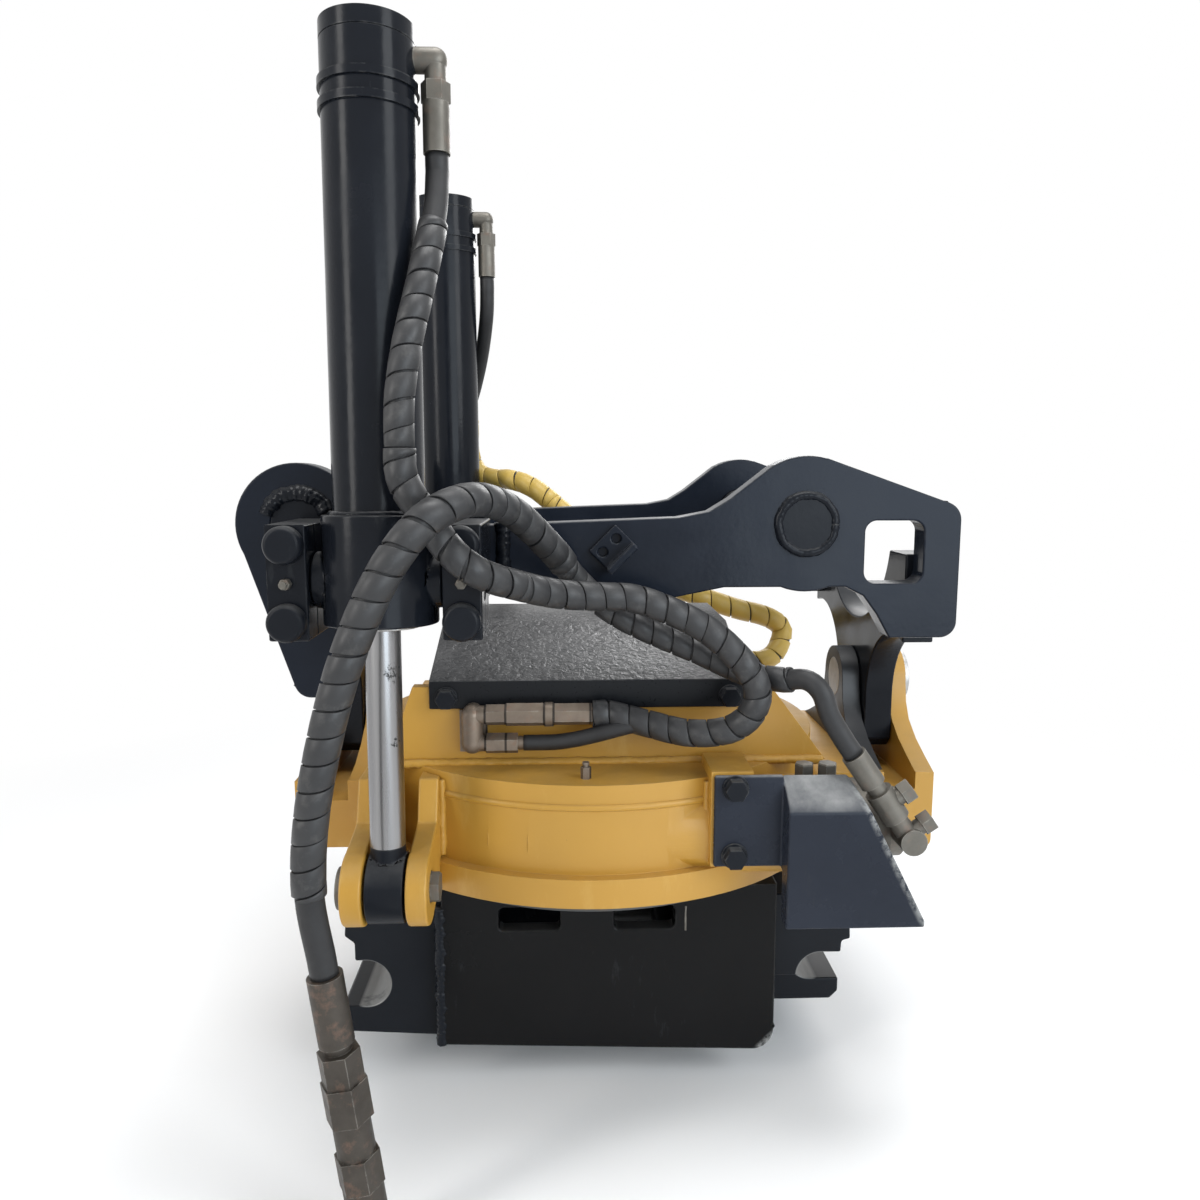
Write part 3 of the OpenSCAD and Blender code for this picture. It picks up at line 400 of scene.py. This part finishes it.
def old_zinc(name, base=(0.125, 0.116, 0.10), rust=0.35, shaded_seams=()):
    """Weathered plated fittings: grey-brown, dull, with rust in the low places.

    Shaded seams are places along X where one nut meets the next; a thin near-black ring painted at each is
    painted shade in the groove between the nuts.
    """
    s = Shader(name)
    colour = s.mix(s.noise(45, 5, 0.65), tuple(0.62 * c for c in base), tuple(1.5 * c for c in base))
    spot = s.span(s.noise(75, 6, 0.7), 0.54, 0.70, 0, rust)
    colour = s.mix(spot, colour, (0.17, 0.075, 0.035))
    worn = s.math("MULTIPLY", s.edges(0.0012), s.span(s.noise(90, 5, 0.7), 0.42, 0.6, 0, 0.6))
    colour = s.mix(worn, colour, (0.36, 0.345, 0.31))
    # Painted shade: a thin near-black ring at each seam between nuts, standing in for the groove's shade.
    for x in shaded_seams:
        off = s.math("ABSOLUTE", s.math("SUBTRACT", s.axis("X"), x), 0.0)
        colour = s.mix(s.span(off, 0.0007, 0.0013, 0.85, 0.0), colour, (0.012, 0.010, 0.009))
    s.set(base_color=colour, metallic=s.span(spot, 0, rust, 0.65, 0.1),
          roughness=s.span(s.noise(80, 5, 0.6), 0.3, 0.7, 0.38, 0.62),
          normal=s.bump(s.noise(190, 4, 0.65), 0.18, 0.0008))
    return s.material


def rubber(name):
    s = Shader(name)
    colour = s.mix(s.noise(60, 5, 0.6), (0.010, 0.010, 0.011), (0.030, 0.030, 0.031))
    s.set(base_color=colour, roughness=s.span(s.noise(50, 4, 0.6), 0.3, 0.7, 0.42, 0.62),
          normal=s.bump(s.noise(500, 2, 0.5), 0.12, 0.0004), specular_ior_level=0.35)
    return s.material


def spiral_plastic(name, low, high, scuff):
    """Hard plastic spiral guard, dusty and rubbed pale along its crowns."""
    s = Shader(name)
    colour = s.mix(s.noise(24, 6, 0.65), low, high)
    rub = s.span(s.noise(95, 6, 0.72), 0.54, 0.74, 0, 0.55)
    colour = s.mix(rub, colour, scuff)
    worn = s.math("MULTIPLY", s.edges(0.0009), s.span(s.noise(70, 5, 0.7), 0.42, 0.62, 0, 0.5))
    colour = s.mix(worn, colour, tuple(1.3 * c for c in scuff))
    s.set(base_color=colour, roughness=s.span(s.noise(60, 5, 0.6), 0.3, 0.7, 0.36, 0.58),
          normal=s.bump(s.noise(300, 3, 0.6), 0.12, 0.0005), specular_ior_level=0.4)
    return s.material


def worn_hook(name, centre):
    """Black paint that the tool pin has rubbed down to grey steel round a centre (X, Z)."""
    s = Shader(name)
    flat = s.node("ShaderNodeCombineXYZ")
    s.put(s.math("SUBTRACT", s.axis("X"), centre[0]), flat.inputs["X"])
    s.put(s.math("SUBTRACT", s.axis("Z"), centre[1]), flat.inputs["Z"])
    reach = s.node("ShaderNodeVectorMath", operation="LENGTH")
    s.put(flat.outputs[0], reach.inputs[0])
    near = s.span(reach.outputs["Value"], 0.0232, 0.0242, 1.0, 0.0)
    rubbed = s.math("MULTIPLY", near, s.span(s.noise(45, 5, 0.65), 0.22, 0.42))
    paint = s.mix(s.noise(9, 5, 0.6), (0.0052, 0.006, 0.0078), (0.010, 0.012, 0.016))
    scratch = s.noise(80, 5, 0.7, at=s.stretched((1.0, 0.2, 1.0)))
    metal = s.mix(scratch, (0.15, 0.15, 0.15), (0.29, 0.29, 0.28))
    s.set(base_color=s.mix(rubbed, paint, metal), metallic=s.span(rubbed, 0, 1, 0.0, 0.55),
          roughness=s.span(rubbed, 0, 1, 0.30, 0.46),
          normal=s.bump(s.noise(180, 3, 0.55), 0.12, 0.0007), specular_ior_level=0.13)
    return s.material


# Dressing of CAD nodes


def dress(material, *names, edge=0.0):
    """Gives nodes a material, and rounds their sharp edges by so many millimetres."""
    for name in names:
        piece = nodes[name]
        piece.data.materials.clear()
        piece.data.materials.append(material)
        if edge:
            soften(piece, edge * MM)


def soften(piece, width):
    weld = piece.modifiers.new("weld", "WELD")
    weld.merge_threshold = 0.00001
    flat = piece.modifiers.new("flat", "DECIMATE")
    flat.decimate_type = "DISSOLVE"
    flat.angle_limit = math.radians(0.4)
    bevel = piece.modifiers.new("bevel", "BEVEL")
    bevel.width = width
    bevel.segments = 2
    bevel.limit_method = "ANGLE"
    bevel.angle_limit = math.radians(32)
    bevel.use_clamp_overlap = False
    bevel.miter_outer = "MITER_ARC"
    shade = piece.modifiers.new("shade", "WEIGHTED_NORMAL")
    shade.weight = 60


# Paths and swept meshes

FIRST_NORMAL = (0.31, 0.84, 0.44)
THINNEST_BAND = 0.0006
BEAD_STEP = 0.0011
BEAD_PASS = 0.0048
LEAD = 7


def spline(points, per_span=10):
    """The smooth path through the points, as in the CAD source, in metres."""
    p = [Vector(q) * MM for q in points]
    last = len(p) - 1
    path = []
    for i in range(last):
        a, b, c, d = p[max(i - 1, 0)], p[i], p[i + 1], p[min(i + 2, last)]
        for j in range(per_span):
            t = j / per_span
            path.append(0.5 * (2 * b + (c - a) * t + (2 * a - 5 * b + 4 * c - d) * t * t
                               + (3 * b - a - 3 * c + d) * t ** 3))
    return path + [p[last]]


def evenly(path, step):
    """The same path with points a fixed step apart."""
    kept = [path[0].copy()]
    left = step
    for a, b in zip(path, path[1:]):
        length = (b - a).length
        done = 0.0
        while length - done >= left:
            done += left
            kept.append(a.lerp(b, done / length))
            left = step
        left -= length - done
    if (path[-1] - kept[-1]).length > step * 0.3:
        kept.append(path[-1].copy())
    else:
        kept[-1] = path[-1].copy()
    return kept


def carried_frames(path):
    """(tangent, normal, side) at each point, turned as little as possible."""
    made = []
    normal = Vector(FIRST_NORMAL)
    for i in range(len(path)):
        tangent = (path[min(i + 1, len(path) - 1)] - path[max(i - 1, 0)]).normalized()
        normal = (normal - normal.dot(tangent) * tangent).normalized()
        made.append((tangent, normal.copy(), tangent.cross(normal)))
    return made


def new_piece(name, verts, faces, material):
    mesh = bpy.data.meshes.new(name)
    mesh.from_pydata(verts, [], faces)
    mesh.validate()
    for face in mesh.polygons:
        face.use_smooth = True
    mesh.materials.append(material)
    piece = bpy.data.objects.new(name, mesh)
    bpy.context.scene.collection.objects.link(piece)
    return piece


def swept(name, path, radius_at, material, sides=16):
    """A closed tube along a path; radius_at(index, angle) gives its surface."""
    verts = []
    faces = []
    for i, (place, (tangent, normal, side)) in enumerate(zip(path, carried_frames(path))):
        for j in range(sides):
            angle = 2 * math.pi * j / sides
            verts.append(place + radius_at(i, angle) * (math.cos(angle) * normal + math.sin(angle) * side))
    for i in range(len(path) - 1):
        for j in range(sides):
            k = (j + 1) % sides
            faces.append((i * sides + j, i * sides + k, (i + 1) * sides + k, (i + 1) * sides + j))
    faces.append(tuple(reversed(range(sides))))
    faces.append(tuple(range((len(path) - 1) * sides, len(path) * sides)))
    return new_piece(name, verts, faces, material)


def spiral(name, path, step, inner, outer, pitch, slit, material, turn_sides=22):
    """A spiral guard: one flat band wound round a hose, cut square, its gaps open on the outside of bends."""
    frames = carried_frames(path)
    length = step * (len(path) - 1)
    bend = [Vector((0, 0, 0))] * len(path)
    for i in range(3, len(path) - 3):
        bend[i] = (frames[i + 3][0] - frames[i - 3][0]) / (6 * step)

    def surface(along, angle, radius):
        spot = min(max(along / step, 0.0), len(path) - 1.001)
        i = int(spot)
        share = spot - i
        place = path[i].lerp(path[i + 1], share)
        normal = frames[i][1].lerp(frames[i + 1][1], share).normalized()
        side = frames[i][2].lerp(frames[i + 1][2], share).normalized()
        return place + radius * (math.cos(angle) * normal + math.sin(angle) * side)

    def opened(along, angle):
        i = min(max(int(along / step), 0), len(path) - 1)
        away = math.cos(angle) * frames[i][1] + math.sin(angle) * frames[i][2]
        return 1.0 - 0.5 * outer * bend[i].dot(away)

    profile = ((0.0, inner), (0.008, outer - 0.0004), (0.035, outer), (0.5, outer + 0.0001),
               (0.965, outer), (0.992, outer - 0.0004), (1.0, inner))
    verts = []
    faces = []
    wide = len(profile)
    for i in range(-turn_sides, int(length / pitch * turn_sides) + 1):
        angle = 2 * math.pi * i / turn_sides
        begin = pitch * i / turn_sides
        wobble = 0.0012 * noise.noise((begin * 40.0, 0.3, 0.7))
        band = min((pitch - slit) / max(opened(begin + pitch / 2, angle), 0.4), pitch - 0.0006)
        middle = begin + pitch / 2 + wobble
        low = max(middle - band / 2, 0.0)
        high = min(middle + band / 2, length)
        if high - low < THINNEST_BAND:
            continue
        for share, radius in profile:
            verts.append(surface(low + share * (high - low), angle, radius))
    count = len(verts) // wide - 1
    for i in range(count):
        for j in range(wide - 1):
            a = i * wide + j
            faces.append((a, a + 1, a + wide + 1, a + wide))
        faces.append((i * wide + wide - 1, i * wide, (i + 1) * wide, (i + 1) * wide + wide - 1))
    faces.append(tuple(range(wide)))
    faces.append(tuple(reversed(range(count * wide, (count + 1) * wide))))
    return new_piece(name, verts, faces, material)


def bead(name, points, radius, material, body, uneven=1.0):
    """A weld bead with the ripples that its passes leave."""
    path = evenly(spline(points, 16), BEAD_STEP)

    def ripple(i, angle):
        spot = path[i] * 110.0 + 0.9 * Vector((math.cos(angle), math.sin(angle), 0))
        lump = noise.noise(spot) + 0.5 * noise.noise(2.3 * spot)
        wave = abs(math.sin(math.pi * (i * BEAD_STEP / BEAD_PASS + 0.8 * noise.noise(path[i] * 70.0))))
        return radius * MM * (1.0 + uneven * (0.06 * wave + 0.24 * lump - 0.06))

    piece = swept(name, path, ripple, material, 10)
    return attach(piece, body)


def lead_out(place, way):
    """Three points in a straight line out of a hose's first end."""
    way = Vector(way).normalized()
    return [tuple(Vector(place) + LEAD * i * way) for i in range(3)]


def lead_in(place, way):
    """Three points in a straight line into a hose's last end."""
    way = Vector(way).normalized()
    return [tuple(Vector(place) - LEAD * (2 - i) * way) for i in range(3)]


make_camera()
make_lights()
make_world()
make_floor()
bpy.context.scene.view_settings.view_transform = "Standard"

BLACK = black_paint("black_paint")
BLACK_DUSTY = black_paint("black_paint_dusty", top_film=0.4, gloss=0.26, orange_peel=0.2)
# Painted light: the side plates get a lighter, bluer copy of the black paint for the cool light that falls on
# them.
LIT_PLATE_PAINT = black_paint("black_paint_plate_lit", tint=(0.0075, 0.0098, 0.0150))
# Painted shade: the hitch gets a darker, more neutral copy of the black paint; the grey along one edge is
# real rubbed wear.
SHADED_HITCH_PAINT = black_paint("black_paint_hitch_shaded", tint=(0.0030, 0.0030, 0.0032),
                          rubbed=((0.707, 0, -0.707), 0.485))
# Painted light: the motor guard gets a lighter, bluer copy of the black paint, and its heavy pale film on
# faces that look up is partly dust and partly a painted highlight on its top plate; the grey along one edge
# is real rubbed wear.
LIT_GUARD_PAINT = black_paint("black_paint_rubbed_lit", top_film=0.95, gloss=0.2, tint=(0.013, 0.0155, 0.022),
                          rubbed=((0.893, 0, 0.451), 0.125), film_tone=0.42)
BLACK_LUMPY = black_paint("black_paint_on_weld", top_film=0.2, gloss=0.14, orange_peel=0.6)
COVER = cover_paint("cover_paint")
YELLOW = yellow_paint("yellow_paint")
CHROME = chrome("chrome", (((-0.125, -0.249, -0.109), 0.014), ((-0.124, -0.249, -0.165), 0.009)))
STEEL = bare_steel("steel")
DARK_STEEL = bare_steel("dark_steel", 0.10, 0.42)
BRONZE = bronze("bronze")
ZINC = old_zinc("zinc")
COUPLING = old_zinc("coupling", (0.058, 0.050, 0.042), 0.45)
RUSTY = old_zinc("rusty_fitting", (0.17, 0.135, 0.105), 0.6, (-0.0605, -0.043, -0.010, -0.002, 0.0295))
RUBBER = rubber("rubber")
GUARD = spiral_plastic("guard_black", (0.017, 0.0172, 0.0185), (0.036, 0.036, 0.037), (0.085, 0.082, 0.078))
GUARD_YELLOW = spiral_plastic("guard_yellow", (0.42, 0.28, 0.055), (0.56, 0.39, 0.09), (0.48, 0.39, 0.18))

FRONT_HOOK = worn_hook("front_hook_paint", (-0.180, -0.432))
REAR_CLAW = worn_hook("rear_claw_paint", (0.250, -0.432))

dress(LIT_PLATE_PAINT, "near_side_plate", "far_side_plate", "hose_bracket", edge=1.6)
dress(BLACK, "front_leg", "rear_leg", "trunnion_blocks", "trunnion_caps", "near_collar", "far_collar",
      edge=1.6)
dress(BLACK, "near_tube", "far_tube", edge=1.0)
dress(BLACK, "near_end_cap", "far_end_cap")
dress(LIT_GUARD_PAINT, "motor_guard", edge=2.0)
dress(SHADED_HITCH_PAINT, "hitch_frame", edge=2.0)
dress(BLACK, "lock_cylinder", edge=2.0)
dress(BLACK_DUSTY, "trunnion_bolts", "near_rod_eye", "far_rod_eye", edge=1.2)
dress(COVER, "top_cover", edge=1.0)
dress(YELLOW, "gear_case", edge=0.5)
dress(YELLOW, "near_lugs", "far_lugs", edge=2.0)
dress(CHROME, "near_rod", "far_rod")
dress(BLACK_DUSTY, "front_pin", "rear_pin", edge=1.0)
dress(STEEL, "near_gland", "far_gland", "tilt_pins", "swivel_sleeve", "swivel_shaft", "worm", "worm_bearings",
      edge=0.8)
dress(DARK_STEEL, "rotor_hub", "lock_piston", edge=0.8)
dress(BRONZE, "tilt_bushes", "bearing_ring", "worm_wheel")
dress(ZINC, "grease_nipples", "near_piston", "far_piston", "rod_pins", "motor", edge=0.7)
dress(ZINC, "near_port", "far_port", "motor_fittings")
dress(COUPLING, "hose_end")
dress(BLACK_DUSTY, "cover_bolts", "guard_bolts", edge=0.6)
dress(RUSTY, "hose_fittings")
dress(FRONT_HOOK, "front_hook", edge=1.8)
dress(REAR_CLAW, "rear_claw", "lock_wedge", edge=1.8)


# Hoses, on the routes of their CAD solids

DOWN = (0, 0, -1)
JOIN_GAP = 0.5
NEAR_PORT_END = (-85, -225.5, 277.3)
FAR_PORT_END = (-85, 225.5, 277.3)
NEAR_JOIN = (-108, -288, 62)
FAR_JOIN = (-116, 284, 110)
SUPPLY_JOIN = (8, -196, -31)
SUPPLY_DIR = (5, 5, -7)
END_JOIN = (-165, -330, -312)
END_LEAN = math.radians(7.4)
END_DIR = (math.sin(END_LEAN), 0, -math.cos(END_LEAN))
MOTOR_JOIN = (244, -229, -185)
MOTOR_LEAN = math.radians(34.5)
MOTOR_DIR = (math.sin(MOTOR_LEAN), 0, -math.cos(MOTOR_LEAN))


def past(place, way, gap=JOIN_GAP):
    return tuple(Vector(place) + gap * Vector(way).normalized())


NEAR_TILT = (lead_out(NEAR_PORT_END, (0, -1, -30))
             + [(-86, -238, 232), (-93, -260, 184), (-102, -278, 136), (-107, -286, 100)]
             + lead_in(NEAR_JOIN, DOWN))
FAR_TILT = (lead_out(FAR_PORT_END, (0, 1, -30))
            + [(-87, 234, 232), (-95, 254, 190), (-106, 273, 152)]
            + lead_in(FAR_JOIN, DOWN))
NEAR_FEED = (lead_out(past(NEAR_JOIN, DOWN), DOWN)
             + [(-104, -288, 33), (-89, -287, 10), (-73, -292, -12), (-53, -288, -28), (-26, -264, -40),
                (4, -238, -50), (37, -224, -54), (70, -218, -58), (118, -218, -79), (148, -220, -104),
                (164, -222, -128), (162, -220, -150), (144, -214, -167), (112, -202, -173), (76, -187, -168)]
             + lead_in((31 + JOIN_GAP, -178, -162), (-1, 0, 0)))
MOTOR_FEED = (lead_out(past(SUPPLY_JOIN, SUPPLY_DIR), SUPPLY_DIR)
              + [(40, -186, -66), (70, -188, -84), (122, -188, -107), (160, -193, -124), (188, -206, -127),
                 (205, -220, -124), (216, -228, -133), (223, -229, -152)]
              + lead_in(past(MOTOR_JOIN, MOTOR_DIR, -JOIN_GAP), MOTOR_DIR))
FAR_FEED = (lead_out(past(FAR_JOIN, DOWN), DOWN)
            + [(-116, 286, 68), (-106, 283, 43), (-85, 272, 34), (-60, 255, 33), (-30, 236, 22), (8, 214, -8),
               (60, 198, -52), (140, 196, -96), (214, 192, -124), (262, 200, -138), (284, 206, -156),
               (272, 188, -182)]
            + lead_in((236 + JOIN_GAP, 173, -190), (-1, 0, 0)))
LOWER_LINE = (lead_out((-28, -178, -187), (1, 0, 0))
              + [(2, -180, -186), (22, -183, -182), (42, -187, -176), (60, -188, -171), (76, -188, -168)])
SUPPLY = (lead_out(SUPPLY_JOIN, tuple(-c for c in SUPPLY_DIR))
          + [(-28, -246, 12), (-50, -288, 25), (-70, -318, 22), (-90, -334, 8), (-114, -342, -26),
             (-138, -344, -80), (-156, -342, -140), (-168, -338, -198), (-172, -334, -250)]
          + lead_in(past(END_JOIN, END_DIR, -JOIN_GAP), END_DIR))
HOSE_STEP = 0.004
LONGEST = 2000
GUARD_WALL = 2.0
GUARD_SLIT = 1.0


def part_of(path, start, stop):
    """The stretch of an even path between two distances from its start, in millimetres."""
    return path[int(start * MM / HOSE_STEP):int(stop * MM / HOSE_STEP) + 1]


def hose(name, points, radius, material, stretch=(0, LONGEST)):
    """A hose on its route, or only a stretch of it."""
    path = part_of(evenly(spline(points), HOSE_STEP), *stretch)
    return swept(name, path, lambda i, angle: radius * MM, material, 18), path


def guarded(name, points, outer, pitch, material, bare=(0.0, 0.0), stretch=(0, LONGEST)):
    """A hose and the guard round it, bare for so many millimetres at either end."""
    bore = outer - GUARD_WALL
    core, path = hose(name, points, bore, RUBBER, stretch)
    length = HOSE_STEP / MM * (len(path) - 1)
    run = part_of(path, bare[0], length - bare[1])
    wrap = spiral(name + "_guard", run, HOSE_STEP, (bore + 0.2) * MM, outer * MM, pitch * MM, GUARD_SLIT * MM,
                  material)
    return core, wrap, path


# A tilt hose swings with its barrel. A feed hose is split where it hangs on the upper frame alone, into a
# first stretch between barrel and frame and a second between frame and case. A guard has an outer radius
# and a pitch.
NEAR_SPLIT = 148
FAR_SPLIT = 196
NEAR_FEED_GUARD = (11.6, 18)
FAR_FEED_GUARD = (12.8, 25)

near_tilt, near_tilt_guard, _ = guarded("near_tilt_hose_line", NEAR_TILT, 10.8, 19, GUARD, (58, 0))
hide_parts("near_tilt_hose")
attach(near_tilt, "near_barrel")
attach(near_tilt_guard, "near_barrel")

far_tilt, _ = hose("far_tilt_hose_line", FAR_TILT, 8.6, RUBBER)
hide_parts("far_tilt_hose")
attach(far_tilt, "far_barrel")

near_top, near_top_guard, _ = guarded("near_feed_hose_top", NEAR_FEED, *NEAR_FEED_GUARD, GUARD,
                                      stretch=(0, NEAR_SPLIT))
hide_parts("near_feed_hose")
for piece in (near_top, near_top_guard):
    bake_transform(piece)
near_feed, near_feed_guard, _ = guarded("near_feed_hose_line", NEAR_FEED, *NEAR_FEED_GUARD, GUARD,
                                        stretch=(NEAR_SPLIT, LONGEST))
thin_line, _ = hose("thin_hose_line", LOWER_LINE, 6.8, RUBBER)
for piece in (near_feed, near_feed_guard, thin_line):
    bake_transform(piece)

motor_feed, motor_feed_guard, _ = guarded("motor_hose_line", MOTOR_FEED, 10.6, 18, GUARD, (0, 86))
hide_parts("motor_hose")
for piece in (motor_feed, motor_feed_guard):
    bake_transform(piece)

far_top, far_top_guard, _ = guarded("far_feed_hose_top", FAR_FEED, *FAR_FEED_GUARD, GUARD_YELLOW,
                                    stretch=(0, FAR_SPLIT))
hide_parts("far_feed_hose")
for piece in (far_top, far_top_guard):
    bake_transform(piece)
far_feed, far_feed_guard, _ = guarded("far_feed_hose_line", FAR_FEED, *FAR_FEED_GUARD, GUARD_YELLOW,
                                      stretch=(FAR_SPLIT, LONGEST))
for piece in (far_feed, far_feed_guard):
    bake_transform(piece)

supply, supply_guard, supply_path = guarded("supply_hose_line", SUPPLY, 12.2, 19.5, GUARD, (0, 62))
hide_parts("supply_hose")
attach(supply, "upper")
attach(supply_guard, "upper")


# Hexagon plugs on the motor, whose tops show over its guard

PLUG_XS = (212, 232)
PLUG_Y = -196
PLUG_HEIGHTS = (-234, -214, -213, -203, -202)
PLUG_RADII = (6.5, 6.5, 8.5, 8.5, 7.5)

for count, x in enumerate(PLUG_XS):
    stem = [Vector((x, PLUG_Y, z)) * MM for z in PLUG_HEIGHTS]
    plug = swept("motor_plug_%d" % count, stem, lambda i, angle: PLUG_RADII[i] * MM, ZINC, 6)
    plug.data.shade_flat()
    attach(plug, "case")


# Weld beads

PIN_X = 215
PLATE_FACE = 170
ROTOR_X = 35
TRUNNION = (-134, 236, -38)
BARREL_LEAN = math.radians(1.908)


def ring(x, y, z, radius, first=0, last=360, count=24):
    """Points on a circle round the Y axis, in degrees from +X towards +Z."""
    return [(x + radius * math.cos(math.radians(a)), y, z + radius * math.sin(math.radians(a)))
            for a in [first + (last - first) * i / count for i in range(count + 1)]]


def round_case(radius, z, first, last, count=28):
    """Points round the rotor axis, in degrees from +X towards +Y."""
    return [(ROTOR_X + radius * math.cos(math.radians(a)), radius * math.sin(math.radians(a)), z)
            for a in [first + (last - first) * i / count for i in range(count + 1)]]


def round_barrel(side, along, radius, count=28):
    """Points round a leaning barrel, so far above its trunnions."""
    x, y, z = TRUNNION
    points = []
    for i in range(count + 1):
        a = 2 * math.pi * i / count
        u, v = radius * math.cos(a), radius * math.sin(a)
        points.append((x + u, side * y + v * math.cos(BARREL_LEAN) - side * along * math.sin(BARREL_LEAN),
                       z + along * math.cos(BARREL_LEAN) + side * v * math.sin(BARREL_LEAN)))
    return points


for side, sign in (("near", -1), ("far", 1)):
    y = sign * PLATE_FACE
    bead(side + "_rear_pin_weld", ring(PIN_X, y, 0, 24.5), 4.0, BLACK, "upper")
    bead(side + "_front_pin_weld", ring(-PIN_X, y - sign * 2, 0, 27, 24, 160), 7.5, BLACK_LUMPY,
         "upper", uneven=1.3)
    bead(side + "_block_weld", [(-44, y, z) for z in (2, -12, -28, -41)], 6.5, BLACK_LUMPY, "upper",
         uneven=1.3)
    bead(side + "_block_top_weld", [(x, y, 7) for x in (-82, -72, -56)], 4.0, BLACK, "upper")
    bead(side + "_collar_weld", round_barrel(sign, 50.5, 36.5), 2.6, BLACK, side + "_barrel")
    bead(side + "_gusset_weld", [(x, sign * 164, -209) for x in (-146, -60, 40, 140, 236)], 4.0, YELLOW,
         "case")
    bead(side + "_lug_weld", [(-98.5, sign * 184, z) for z in (-217, -240, -262, -284)], 3.6, YELLOW,
         "case")
    bead(side + "_drum_ridge", round_case(225.2, -229, sign * 66, sign * 126), 3.2, YELLOW, "case",
         uneven=0.2)
    bead(side + "_hook_weld", [(-107.5, sign * 145, z) for z in (-352, -390, -440, -486)], 6.5, BLACK_LUMPY,
         "rotor", uneven=1.3)
bead("pad_weld", [(127, -208, z) for z in (-213, -236, -260, -284)], 3.4, YELLOW, "case")
bead("hitch_mark", [(118, -150, z) for z in (-352, -364, -376)], 1.0, ZINC, "rotor")
